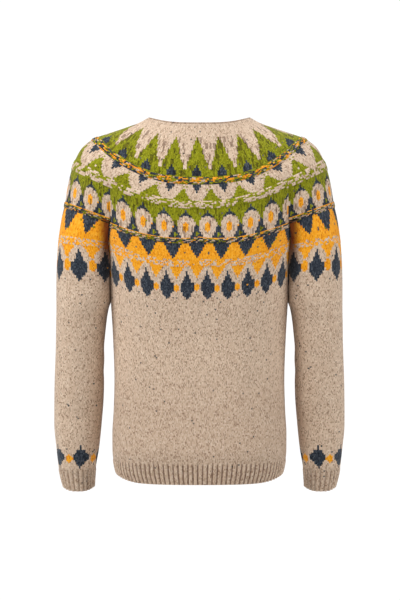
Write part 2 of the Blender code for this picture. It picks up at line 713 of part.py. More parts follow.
def main():
    """Clear the scene and make the garment from the neck down."""
    for item in list(bpy.data.objects):
        bpy.data.objects.remove(item, do_unlink=True)
    wall("neckband", *yoke_grid((0.0, 0.5, 1.0)), KNIT)
    wall("yoke", *yoke_grid(YOKE_ROWS), KNIT)
    body_panels()
    sleeves()
    hem_ribs()
    cuffs()
    front_bands()
    buttons()


main()
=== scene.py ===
"""Fair isle cardigan, filled out as it is worn and seen from the back.

Metres, +Z up. The front looks along -Y and the wearer's left is +X. Each piece is knitted stitch
by stitch over the same smooth form as its solid: two small faces a stitch, with the yarn of each
stitch taken from short motifs that repeat round the garment.
"""

import logging
import math
from dataclasses import dataclass, field
from enum import Enum
from typing import Callable

import bmesh
import bpy
import numpy as np
from mathutils import Matrix, Vector


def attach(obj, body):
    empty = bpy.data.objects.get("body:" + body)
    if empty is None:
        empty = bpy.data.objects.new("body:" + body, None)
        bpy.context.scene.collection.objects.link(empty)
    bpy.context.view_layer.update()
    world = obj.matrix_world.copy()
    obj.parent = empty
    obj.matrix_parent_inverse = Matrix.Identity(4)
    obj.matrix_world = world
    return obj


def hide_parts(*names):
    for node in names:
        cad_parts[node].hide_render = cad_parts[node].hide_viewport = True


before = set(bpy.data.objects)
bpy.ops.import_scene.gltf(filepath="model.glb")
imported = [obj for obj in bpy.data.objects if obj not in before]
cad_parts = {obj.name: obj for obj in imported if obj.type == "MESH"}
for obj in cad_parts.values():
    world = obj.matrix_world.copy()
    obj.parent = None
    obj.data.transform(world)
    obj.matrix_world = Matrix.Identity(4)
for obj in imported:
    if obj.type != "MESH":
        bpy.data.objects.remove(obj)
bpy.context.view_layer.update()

log = logging.getLogger("cardigan")

Array = np.ndarray
Place = Callable[[Array, Array], Array]
Pair = tuple[float, float]
Screen = tuple[int, int, int]
Socket = bpy.types.NodeSocket

# The cloth's thickness, and the size of a stitch
WALL = 0.0024
SEAM = 0.0004
LAP_CLEARANCE = 0.0004
STITCH_WIDTH = 0.00275
ROW_HEIGHT = 0.0023
SLEEVE_ROW_HEIGHT = 0.00265

# Heights and places of the form, as in the solids
HEM_EDGE = -0.605
HEM_RIB_TOP = -0.570
CUFF_EDGE = -0.627
CUFF_RIB_TOP = -0.588
JUNCTION_X = 0.147
PIT_DROP = 0.055
PIT_ROUNDNESS = 2.2
VALLEY_REACH = 0.050
VALLEY_START_ROW = 4.5
SLEEVE_JUNCTION_ANGLE = math.radians(55.0)
SLEEVE_BLEND = 0.080
RIB_PITCH = 0.0076
RIB_RELIEF = 0.0022
BAND_HALF_WIDTH = 0.014
BAND_LAP = 0.004
BUTTON_COUNT = 8
BUTTON_RADIUS = 0.0078
BUTTON_THICKNESS = 0.0030
BUTTON_END_MARGIN = 0.018
LAST_ROW = 8.0
SKIRT_ROW = 0.027

# Reliefs: the hollow inside a V, a purl bump, a purl ridge, and the dip along a seam
V_HOLLOW = 0.00022
V_DROP = 0.45
PURL_BUMP = 0.00030
RIDGE_RELIEF = 0.0013
RIDGE_HEIGHT = 0.0062
SEAM_DIP = 0.0011
SEAM_DIP_WIDTH = 0.0020

# Between these heights the sleeve is pressed flat where it touches the body
TOUCH_LOW, TOUCH_HIGH = -0.308, -0.225
TOUCH_GAP = 0.0003

# Turns the sine of a body angle into the share of the body's half width
SIDE_POWER = 0.83

# Share of the beige stitches that turn out grey
FLECK_SHARE = 0.004


class Yarn(Enum):
    """Yarns of the colourwork, in the order of the colour ramps."""

    BEIGE = 0
    GREEN = 1
    ORANGE = 2
    NAVY = 3
    GREY = 4


class Stitch(Enum):
    """How the face of a strip is knitted."""

    KNIT = "knit"
    PURL = "purl"


BEIGE, GREEN, ORANGE, NAVY, GREY = Yarn
KNIT, PURL = Stitch


def signed_power(value: Array, power: Array) -> Array:
    """A power that keeps the sign."""
    return np.sign(value) * np.abs(value) ** power


def soft_step(value: Array) -> Array:
    """Rises smoothly from 0 to 1 as the value goes from 0 to 1."""
    value = np.clip(value, 0.0, 1.0)
    return value * value * (3 - 2 * value)


def squircle(share: Array, squareness: Array) -> Array:
    """How far out a squared circle lies at a share of its half width."""
    return (1 - share**squareness) ** (1 / squareness)


def side_of(across: Array) -> Array:
    """1 on the wearer's left and in the middle, -1 on the right."""
    return np.where(across < 0, -1, 1)


def path_lengths(points: Array) -> Array:
    """Length of a path up to each of its points."""
    return np.concatenate([[0], np.cumsum(np.linalg.norm(np.diff(points, axis=0), axis=1))])


def ease(t: Array, span: Array, ends: tuple[Array, Array], slopes: tuple[Array, Array]) -> Array:
    """Smooth curve between two values.

    Args:
        t: Places along it, 0 to 1.
        span: Its length.
        ends: Values at its ends.
        slopes: Slopes at its ends.

    Returns:
        The values.
    """
    return (
        (1 + 2 * t) * (1 - t) ** 2 * ends[0]
        + t * (1 - t) ** 2 * span * slopes[0]
        + t * t * (3 - 2 * t) * ends[1]
        + t * t * (t - 1) * span * slopes[1]
    )


@dataclass(frozen=True)
class Table:
    """Sections in rows, read between the rows along smooth monotone curves."""

    columns: tuple[str, ...]
    rows: tuple[tuple[float, ...], ...]

    def read(self, column: str, at: Array) -> Array:
        """Read one column.

        Args:
            column: The column's name.
            at: Places along the table's first column.

        Returns:
            The column's values at those places.
        """
        rows = np.array(sorted(self.rows))
        known = rows[:, 0]
        value = rows[:, self.columns.index(column)]
        step = np.diff(known)
        slope = np.diff(value) / step
        tangent = np.concatenate(([slope[0]], np.zeros(len(known) - 2), [slope[-1]]))
        for i in range(1, len(known) - 1):
            if slope[i - 1] * slope[i] > 0:
                before = 2 * step[i] + step[i - 1]
                after = step[i] + 2 * step[i - 1]
                tangent[i] = (before + after) / (before / slope[i - 1] + after / slope[i])
        at = np.clip(at, known[0], known[-1])
        i = np.clip(np.searchsorted(known, at) - 1, 0, len(step) - 1)
        ends, slopes = (value[i], value[i + 1]), (tangent[i], tangent[i + 1])
        return ease((at - known[i]) / step[i], step[i], ends, slopes)

    def sided(self, column: str, at: Array, back: Array) -> Array:
        """Read the back's or the front's column, such as their depth."""
        return np.where(back, self.read("back_" + column, at), self.read("front_" + column, at))

    def turn(self, across: Array, at: Array, back: Array) -> Array:
        """Angle at which the section has the given distance from the middle plane."""
        share = np.clip(np.abs(across) / self.read("half_width", at), 0, 1)
        turn = np.arcsin(share ** (self.read("squareness", at) / 2))
        return np.where(back, turn, math.pi - turn) * side_of(across)


# The body is a tube of squared ovals from the hem up to the armholes
BODY = Table(
    ("height", "half_width", "back_depth", "front_depth", "squareness"),
    (
        (-0.150, 0.1680, 0.1005, 0.1130, 2.35),
        (-0.200, 0.1618, 0.1040, 0.1185, 2.38),
        (-0.240, 0.1545, 0.1045, 0.1215, 2.40),
        (-0.280, 0.1508, 0.1020, 0.1205, 2.42),
        (-0.320, 0.1478, 0.0980, 0.1165, 2.45),
        (-0.370, 0.1448, 0.0935, 0.1115, 2.45),
        (-0.440, 0.1425, 0.0925, 0.1090, 2.45),
        (-0.490, 0.1438, 0.0965, 0.1095, 2.45),
        (-0.530, 0.1460, 0.1015, 0.1120, 2.45),
        (-0.558, 0.1458, 0.1045, 0.1130, 2.45),
        (-0.575, 0.1440, 0.1035, 0.1115, 2.40),
        (-0.590, 0.1412, 0.1025, 0.1105, 2.40),
        (-0.605, 0.1350, 0.1015, 0.1095, 2.40),
    ),
)

# The yoke runs from the neck edge, row 0, to the top of the body and sleeves, the last row
YOKE = Table(
    ("row", "half_width", "side_height", "back_depth", "back_height",
     "front_depth", "front_height", "squareness", "rise"),
    (
        (0, 0.0855, 0.0000, 0.0650, -0.0140, 0.0790, -0.0720, 2.15, 3.0),
        (1, 0.1010, -0.0085, 0.0720, -0.0330, 0.0860, -0.0870, 2.15, 3.0),
        (2, 0.1260, -0.0175, 0.0805, -0.0600, 0.0940, -0.1070, 2.12, 2.9),
        (3, 0.1520, -0.0262, 0.0880, -0.0860, 0.1010, -0.1280, 2.10, 2.8),
        (4, 0.1755, -0.0345, 0.0940, -0.1120, 0.1070, -0.1500, 2.05, 2.6),
        (5, 0.1965, -0.0500, 0.0975, -0.1330, 0.1115, -0.1710, 2.00, 2.1),
        (6, 0.2117, -0.0790, 0.1000, -0.1530, 0.1150, -0.1920, 1.95, 1.7),
        (7, 0.2205, -0.1120, 0.1025, -0.1800, 0.1185, -0.2170, 1.92, 1.55),
        (8, 0.2260, -0.1460, 0.1042, -0.2070, 0.1214, -0.2420, 1.90, 1.5),
    ),
)

# Distance from the middle plane at which the sleeve and the body touch
TOUCH = Table(
    ("height", "plane"),
    ((-0.205, 0.1700), (-0.222, 0.1532), (-0.240, 0.1522),
     (-0.285, 0.1495), (-0.306, 0.1492), (-0.325, 0.1640)),
)

# The left sleeve's ovals, between the side that faces the body and the outer side
SLEEVE = Table(
    ("height", "inner", "outer", "half_depth", "middle", "squareness", "hug"),
    (
        (-0.146, 0.1520, 0.2260, 0.0585, 0.000, 2.40, 1.0),
        (-0.170, 0.1552, 0.2315, 0.0595, 0.000, 2.40, 1.0),
        (-0.200, 0.1582, 0.2357, 0.0605, 0.000, 2.40, 1.0),
        (-0.240, 0.1502, 0.2388, 0.0605, 0.000, 2.38, 1.0),
        (-0.285, 0.1462, 0.2400, 0.0590, -0.001, 2.38, 0.8),
        (-0.306, 0.1480, 0.2400, 0.0582, -0.001, 2.36, 0.4),
        (-0.320, 0.1525, 0.2400, 0.0575, -0.002, 2.35, 0.1),
        (-0.340, 0.1560, 0.2405, 0.0563, -0.003, 2.30, 0.0),
        (-0.375, 0.1592, 0.2412, 0.0540, -0.005, 2.20, 0.0),
        (-0.464, 0.1612, 0.2444, 0.0485, -0.012, 2.10, 0.0),
        (-0.515, 0.1652, 0.2450, 0.0455, -0.017, 2.10, 0.0),
        (-0.558, 0.1700, 0.2414, 0.0425, -0.021, 2.10, 0.0),
        (-0.588, 0.1752, 0.2382, 0.0385, -0.024, 2.10, 0.0),
        (-0.605, 0.1769, 0.2352, 0.0360, -0.026, 2.10, 0.0),
        (-0.627, 0.1782, 0.2292, 0.0345, -0.028, 2.10, 0.0),
    ),
)


@dataclass(frozen=True)
class Fold:
    """A soft trough: where it lies, how far it reaches and how deep it is."""

    angle: float
    height: float
    half_angle: float
    half_height: float
    depth: float

    def press(self, angle: Array, height: Array) -> Array:
        """How deep it presses in at each angle, in radians, and height."""
        turn = (np.degrees(angle) - self.angle + 180.0) % 360.0 - 180.0
        across = turn / self.half_angle
        along = (height - self.height) / self.half_height
        return self.depth * np.exp(-across * across - along * along)


# Angles on the body run from the middle of the back to the wearer's left
BODY_FOLDS = (
    Fold(58, -0.355, 9, 0.085, 0.0035),
    Fold(-61, -0.370, 10, 0.075, 0.0030),
    Fold(38, -0.470, 8, 0.060, 0.0022),
    Fold(-34, -0.455, 9, 0.070, 0.0022),
    Fold(128, -0.390, 9, 0.090, 0.0035),
    Fold(-124, -0.375, 10, 0.080, 0.0030),
)

# Angles on a sleeve run from the side that faces the body to the back
SLEEVE_FOLDS = (
    Fold(300, -0.385, 50, 0.014, 0.0035),
    Fold(310, -0.425, 45, 0.012, 0.0028),
    Fold(75, -0.340, 34, 0.016, 0.0018),
    Fold(80, -0.500, 38, 0.016, 0.0020),
)


class GarmentForm:
    """The filled-out surface that every knitted piece follows."""

    def __init__(self) -> None:
        """Find the places where the yoke, the body and the sleeves meet."""
        self.junction_back = float(YOKE.turn(np.array(JUNCTION_X), LAST_ROW, True))
        self.junction_front = float(YOKE.turn(np.array(JUNCTION_X), LAST_ROW, False))
        self.yoke_places = (self.junction_back, math.pi / 2, self.junction_front)
        self.sleeve_places = (SLEEVE_JUNCTION_ANGLE, math.pi, 2 * math.pi - SLEEVE_JUNCTION_ANGLE)

    def body(self, angle: Array, height: Array) -> Array:
        """Points of the body; the angle runs from the middle of the back to the wearer's left."""
        angle, height = np.broadcast_arrays(angle, height)
        power = 2 / BODY.read("squareness", height)
        depth = BODY.sided("depth", height, np.cos(angle) > 0)
        pressed = 1 - sum(fold.press(angle, height) for fold in BODY_FOLDS) / depth
        x = pressed * BODY.read("half_width", height) * signed_power(np.sin(angle), power)
        y = pressed * depth * signed_power(np.cos(angle), power)
        plane = TOUCH.read("plane", height) - TOUCH_GAP
        return np.stack([np.clip(x, -plane, plane), y, height], axis=-1)

    def body_reach(self, across: Array, height: Array, back: Array) -> Array:
        """How far out in depth the body lies at a distance from its middle plane."""
        share = np.clip(np.abs(across) / BODY.read("half_width", height), 0, 1)
        return BODY.sided("depth", height, back) * squircle(share, BODY.read("squareness", height))

    def body_side(self, along: Array, height: Array) -> Array:
        """How wide the body is at a distance in front of or behind its side line."""
        share = np.clip(np.abs(along) / BODY.sided("depth", height, along > 0), 0, 0.999)
        return BODY.read("half_width", height) * squircle(share, BODY.read("squareness", height))

    def yoke_height(self, share: Array, row: Array, back: Array) -> Array:
        """Height of a yoke row at a share of its half width."""
        middle = YOKE.sided("height", row, back)
        return middle + (YOKE.read("side_height", row) - middle) * share ** YOKE.read("rise", row)

    def yoke_oval(self, angle: Array, row: Array) -> Array:
        """Points of the yoke before it is drawn in at the armholes."""
        angle, row = np.broadcast_arrays(angle, row)
        power = 2 / YOKE.read("squareness", row)
        back = np.cos(angle) > 0
        x = YOKE.read("half_width", row) * signed_power(np.sin(angle), power)
        y = YOKE.sided("depth", row, back) * signed_power(np.cos(angle), power)
        z = self.yoke_height(np.abs(np.sin(angle)) ** power, row, back)
        return np.stack([x, y, z], axis=-1)

    def valley(self, angle: Array) -> Array:
        """How far the yoke's lower edge moves in depth to meet the body at the armhole."""
        edge = self.yoke_oval(angle, LAST_ROW)
        across, back = np.abs(edge[..., 0]), edge[..., 1] > 0
        held = np.minimum(across, JUNCTION_X)
        share = held / YOKE.read("half_width", LAST_ROW)
        depth = YOKE.sided("depth", LAST_ROW, back)
        oval = depth * squircle(share, YOKE.read("squareness", LAST_ROW))
        meet = self.body_reach(held, self.yoke_height(share, LAST_ROW, back), back) - oval
        return np.where(back, 1, -1) * meet * (1 - soft_step((across - JUNCTION_X) / VALLEY_REACH))

    def yoke(self, angle: Array, row: Array) -> Array:
        """Points of the yoke or neckband; rows run from the neck edge to the lower edge."""
        point = self.yoke_oval(angle, row)
        share = np.clip((row - VALLEY_START_ROW) / (LAST_ROW - VALLEY_START_ROW), 0, 1)
        point[..., 1] += share**2 * self.valley(angle)
        return point

    def skirt(self, angle: Array, row: Array) -> Array:
        """Points of the yoke, or of the body just below it for rows past the last one."""
        point = self.yoke(angle, np.minimum(row, LAST_ROW))
        height = point[..., 2] - np.maximum(row - LAST_ROW, 0) * SKIRT_ROW
        back = point[..., 1] > 0
        reach = self.body_reach(point[..., 0], height, back) * np.where(back, 1, -1)
        point[..., 1] = np.where(row > LAST_ROW, reach, point[..., 1])
        point[..., 2] = height
        return point

    def ring(self, degrees: Array, row: Array) -> Array:
        """Points of the yoke by plain ring angle.

        Args:
            degrees: 0 at the middle of the back, 90 at the wearer's left, 180 at the front.
            row: Rows of the yoke.

        Returns:
            The points; their distance from the middle plane goes with the angle's sine.
        """
        turn = np.radians(degrees)
        half = np.arcsin(np.abs(np.sin(turn)) ** (YOKE.read("squareness", row) / 2))
        angle = np.where(np.cos(turn) >= 0, half, math.pi - half) * side_of(turn)
        return self.skirt(angle, row)

    def sag(self, degrees: Array) -> Array:
        """How many rows the lowest ring hangs below the last one, by ring angle."""
        half = YOKE.read("half_width", LAST_ROW)
        share = np.clip(half * np.abs(np.sin(np.radians(degrees))) / JUNCTION_X, 0, 1)
        return share * (1.10 - 0.85 * share)

    def seam_ring(self, row: Array) -> Array:
        """Ring angle in degrees of the seam between the yoke's body and sleeve parts."""
        return np.degrees(np.arcsin(np.clip(JUNCTION_X / YOKE.read("half_width", row), 0, 1)))

    def front_ring(self, row: Array) -> Array:
        """Ring angle in degrees of the yoke's front edge."""
        return 180 - np.degrees(np.arcsin((BAND_HALF_WIDTH + SEAM) / YOKE.read("half_width", row)))

    def front_edge(self, height: Array) -> Array:
        """Body angle of the front's edge."""
        return BODY.turn(np.full_like(height, BAND_HALF_WIDTH + SEAM), height, False)

    def underarm(self, along: Array) -> tuple[Array, Array]:
        """Body angle and height of the underarm seam, from its back end, 0, to its front, 1."""
        start = self.yoke(np.array(self.junction_back), LAST_ROW)
        end = self.yoke(np.array(self.junction_front), LAST_ROW)
        angle_start = BODY.turn(start[0], start[2], True)
        angle = angle_start + (BODY.turn(end[0], end[2], False) - angle_start) * along
        dip = PIT_DROP * (1 - np.abs(2 * along - 1) ** PIT_ROUNDNESS)
        return angle, start[2] + (end[2] - start[2]) * along - dip

    def sleeve_oval(self, angle: Array, height: Array) -> Array:
        """Section of the left sleeve; the angle runs from the body's side to the back."""
        angle, height = np.broadcast_arrays(angle, height)
        inner, outer = SLEEVE.read("inner", height), SLEEVE.read("outer", height)
        power = 2 / SLEEVE.read("squareness", height)
        half = (outer - inner) / 2
        pressed = 1 - sum(fold.press(angle, height) for fold in SLEEVE_FOLDS) / half
        x = (inner + outer) / 2 - pressed * half * signed_power(np.cos(angle), power)
        y = pressed * SLEEVE.read("half_depth", height) * signed_power(np.sin(angle), power)
        inward = np.clip((outer - x) / (2 * half), 0, 1) ** 2
        bend = self.body_side(y, height) - self.body_side(np.zeros_like(y), height)
        x = x + SLEEVE.read("hug", height) * inward * bend
        touching = (height < TOUCH_HIGH) & (height > TOUCH_LOW)
        x = np.where(touching, np.maximum(x, TOUCH.read("plane", height)), x)
        return np.stack([x, y + SLEEVE.read("middle", height), height], axis=-1)

    def sleeve_top(self, angle: Array) -> Array:
        """Upper edge of the left sleeve: the armhole, then the yoke's lower edge."""
        turn = (angle + math.pi) % (2 * math.pi) - math.pi
        along = (SLEEVE_JUNCTION_ANGLE - turn) / (2 * SLEEVE_JUNCTION_ANGLE)
        under = self.body(*self.underarm(np.clip(along, 0, 1)))
        around = np.where(turn < 0, turn + 2 * math.pi, turn)
        outer = self.yoke(np.interp(around, self.sleeve_places, self.yoke_places), LAST_ROW)
        return np.where(((along > 0) & (along < 1))[..., None], under, outer)

    def sleeve(self, angle: Array, height: Array, top: Array) -> Array:
        """Points of the left sleeve.

        Args:
            angle: Angles round the sleeve.
            height: Heights, no higher than the upper edge.
            top: The upper edge's points at the same angles.

        Returns:
            The points, which meet the upper edge and ease into the sleeve's ovals below it.
        """
        fade = 1 - soft_step((top[..., 2] - height) / SLEEVE_BLEND)
        shift = top - self.sleeve_oval(angle, top[..., 2])
        return self.sleeve_oval(angle, height) + shift * fade[..., None]


FORM = GarmentForm()


@dataclass(frozen=True)
class Figure:
    """One shape of a motif: a column of widths in stitches, row by row from its first row."""

    yarn: Yarn
    centre: int
    first_row: int
    widths: tuple[int, ...]


@dataclass(frozen=True)
class Stray:
    """A single odd stitch that turns up in some repeats."""

    yarn: Yarn
    row: int
    column: int
    share: float


@dataclass(frozen=True)
class Motif:
    """A band of colourwork that repeats round the garment."""

    repeat: int
    rows: int
    ground: Yarn
    figures: tuple[Figure, ...] = ()
    strays: tuple[Stray, ...] = ()
    # Painted shade scattered at random over its stitches, 0 to 1
    painted_shade: float = 0.0

    def paint(self, columns: int, first: int, rng: np.random.Generator) -> Array:
        """Knit the motif into a grid of yarns.

        Args:
            columns: Stitches in the strip.
            first: Number of the strip's first stitch, counted from the middle of the pattern.
            rng: Source of the odd stitches.

        Returns:
            Yarn numbers, rows by columns.
        """
        unit = np.full((self.rows, self.repeat), self.ground.value)
        for figure in self.figures:
            for row, width in enumerate(figure.widths, start=figure.first_row):
                across = figure.centre - width // 2 + np.arange(width)
                unit[row, across % self.repeat] = figure.yarn.value
        number = first + np.arange(columns)
        grid = unit[:, number % self.repeat]
        repeat = number // self.repeat
        for stray in self.strays:
            hit = rng.random(repeat.max() - repeat.min() + 1) < stray.share
            here = (number % self.repeat == stray.column % self.repeat) & hit[repeat - repeat.min()]
            grid[stray.row, here] = stray.yarn.value
        flecks = (grid == BEIGE.value) & (rng.random(grid.shape) < FLECK_SHARE)
        grid[flecks] = GREY.value
        return grid


@dataclass(frozen=True)
class Mottle:
    """A band of short slanting dashes in several yarns."""

    rows: int
    yarns: tuple[Yarn, ...]
    shares: tuple[float, ...]
    run: int
    slant: float = 0.3
    # Painted shade scattered at random over its stitches, 0 to 1
    painted_shade: float = 0.0
    top_line: Yarn | None = None

    def paint(self, columns: int, first: int, rng: np.random.Generator) -> Array:
        """Knit the band into a grid of yarns.

        Args:
            columns: Stitches in the strip.
            first: Number of the strip's first stitch; the dashes don't depend on it.
            rng: Source of the dashes.

        Returns:
            Yarn numbers, rows by columns.
        """
        numbers = np.array([yarn.value for yarn in self.yarns])
        grid = np.zeros((self.rows, columns), dtype=int)
        for row in range(self.rows):
            pick = numbers[rng.choice(len(numbers), size=columns, p=self.shares)]
            length = 1 + rng.integers(0, self.run, size=columns)
            grid[row] = np.repeat(pick, length)[:columns]
            if row > 0:
                slanted = rng.random(columns) < self.slant
                grid[row] = np.where(slanted, np.roll(grid[row - 1], 1), grid[row])
        if self.top_line is not None:
            grid[0, rng.random(columns) < 0.9] = self.top_line.value
        return grid


TEETH = Motif(
    14, 29, GREEN,
    (
        Figure(BEIGE, 7, 0,
               (13, 13, 11, 11, 10, 9, 9, 8, 8, 7, 7, 7, 6, 6, 5, 5, 4, 3, 2, 2, 2, 2, 2)),
        Figure(NAVY, 0, 20, (1, 1, 3, 3, 5, 5, 5, 5)),
    ),
    (Stray(GREY, 21, 4, 0.55), Stray(GREY, 21, 9, 0.45), Stray(BEIGE, 9, 3, 0.3)),
)
# Its last number is the painted shade scattered at random over this purl ridge
DASHES = Mottle(6, (ORANGE, NAVY, GREEN, BEIGE), (0.27, 0.30, 0.33, 0.10), 2, 0.15, 0.45)
TREES = Motif(
    16, 12, BEIGE,
    (
        Figure(NAVY, 0, 0, (5, 5, 3, 3, 1, 1)),
        Figure(GREEN, 8, 0, (0, 1, 0, 2, 3, 3, 5, 5, 7, 7, 9, 10)),
    ),
    (Stray(GREEN, 1, 6, 0.5), Stray(GREEN, 3, 10, 0.4), Stray(BEIGE, 9, 8, 0.2)),
)
TWIGS = Mottle(6, (BEIGE, GREEN), (0.46, 0.54), 3, 0.25)
FLOWERS = Motif(
    12, 20, GREEN,
    (
        Figure(NAVY, 6, 1, (1, 1, 3, 5, 7)),
        Figure(BEIGE, 6, 5, (3, 7, 8, 9, 10, 10, 10, 10, 9, 9, 9, 7, 7, 5, 5)),
        Figure(ORANGE, 6, 9, (1, 3, 3, 3, 3, 3, 1)),
        Figure(NAVY, 0, 11, (1, 3, 3, 3, 3, 5, 5, 7, 7)),
        Figure(GREEN, 0, 16, (1, 2, 1)),
    ),
    (Stray(ORANGE, 12, 1, 0.3), Stray(GREEN, 11, 4, 0.3), Stray(GREY, 3, 10, 0.2)),
)
FLECK_YARNS = (BEIGE, NAVY, GREEN, ORANGE)
# The ridges along the yoke's lower edge and just below it get random painted shade
FLECKED = Mottle(3, FLECK_YARNS, (0.28, 0.36, 0.24, 0.12), 2, painted_shade=0.3, top_line=ORANGE)
FLECKED_BELOW = Mottle(3, FLECK_YARNS, (0.24, 0.46, 0.20, 0.10), 2, painted_shade=0.5)
PEAK_STRAYS = (
    Stray(GREY, 6, 7, 0.6), Stray(GREY, 7, 7, 0.35), Stray(GREEN, 2, 5, 0.35),
    Stray(GREEN, 4, 10, 0.35), Stray(GREEN, 7, 12, 0.3),
)
PEAKS = Motif(
    14, 12, ORANGE, (Figure(NAVY, 0, 0, (10, 9, 8, 7, 7, 6, 5, 4, 3, 2, 1)),), PEAK_STRAYS
)
SLEEVE_PEAKS = Motif(
    14, 12, ORANGE, (Figure(NAVY, 0, 0, (10, 9, 8, 7, 6, 5, 4, 3, 1)),), PEAK_STRAYS
)
FROST = Mottle(6, (ORANGE, BEIGE), (0.6, 0.4), 1, 0.2)
DIAMONDS = Motif(
    12, 25, BEIGE,
    (
        Figure(ORANGE, 0, 0, (8, 7, 6, 5, 5, 3, 3, 1, 1)),
        Figure(ORANGE, 0, 13, (1, 3, 3, 3, 3, 1)),
        Figure(NAVY, 6, 3, (1, 1, 1, 2, 3, 3, 4, 5, 5, 8, 8, 8, 8, 8, 8, 8, 6, 5, 5, 4, 2, 1)),
    ),
    (Stray(ORANGE, 15, 6, 0.15), Stray(GREY, 23, 0, 0.5), Stray(GREY, 22, 11, 0.4)),
)
SLEEVE_DIAMONDS = Motif(
    14, 25, BEIGE,
    (
        Figure(ORANGE, 0, 0, (9, 8, 6, 5, 4, 3, 3, 2)),
        Figure(ORANGE, 0, 9, (2, 3, 4, 4, 4, 4, 3, 2)),
        Figure(NAVY, 7, 2, (1, 1, 2, 2, 3, 4, 4, 5, 6, 9, 9, 9, 9, 9, 9, 8, 7, 6, 4, 3, 2, 1)),
    ),
    (Stray(ORANGE, 13, 5, 0.25), Stray(GREY, 22, 1, 0.5), Stray(GREY, 7, 3, 0.4)),
)
CUFF_DIAMONDS = Motif(
    14, 16, BEIGE,
    (
        Figure(NAVY, 0, 0, (1, 1, 1, 5, 5, 7, 9, 9, 9, 9, 7, 5, 5, 3, 1, 1)),
        Figure(ORANGE, 7, 6, (1, 3, 4, 4, 3, 1)),
    ),
    (Stray(GREY, 3, 7, 0.6), Stray(GREY, 4, 8, 0.5), Stray(GREY, 13, 6, 0.6)),
)

# Degrees of the first repeat and their growth, at the upper and lower edges of a ring
TEETH_SPREAD = (18.5, 14.33, 0.10, 0.173)
TREE_SPREAD = (13.3, 13.3, 0.20, 0.20)


def plain(rows: int) -> Motif:
    """Rows of plain beige."""
    return Motif(1, rows, BEIGE)


@dataclass
class Strip:
    """A strip of knitting with one count of stitches, laid on the form.

    Its rules take stitches, counted from the middle of the pattern, and rows, counted down from
    the strip's first row. They give points of the smooth form, how far these stand up, whether
    they aren't cut away, and how much painted shade they get, 0 to 1.
    """

    place: Place
    first: int
    yarns: Array
    facing: int
    stitch: Stitch
    # Painted shade scattered at random over its stitches, 0 to 1
    painted_shade: float
    lift: Place | None = None
    keep: Place | None = None
    shade: Place | None = None

    def normals(self, across: Array, down: Array) -> Array:
        """Unit normals that point out of the garment, by small steps along both directions."""
        step = 0.04
        one = self.place(across + step, down) - self.place(across - step, down)
        two = self.place(across, down + step) - self.place(across, down - step)
        normal = np.cross(one, two) * self.facing
        return normal / np.maximum(np.linalg.norm(normal, axis=-1, keepdims=True), 1e-12)

    def kept(self, across: Array, down: Array) -> Array | None:
        """Which faces of a grid of places aren't cut away, or None for all."""
        if self.keep is None:
            return None
        kept = self.keep(across, down)
        return kept[:-1, :-1] | kept[:-1, 1:] | kept[1:, 1:] | kept[1:, :-1]


def link(name: str, data: bpy.types.ID) -> bpy.types.Object:
    """Put a new object into the scene."""
    made = bpy.data.objects.new(name, data)
    bpy.context.scene.collection.objects.link(made)
    return made


def mesh_of(shape: bmesh.types.BMesh, name: str) -> bpy.types.Mesh:
    """Turn a finished form into a mesh."""
    mesh = bpy.data.meshes.new(name)
    shape.to_mesh(mesh)
    shape.free()
    return mesh


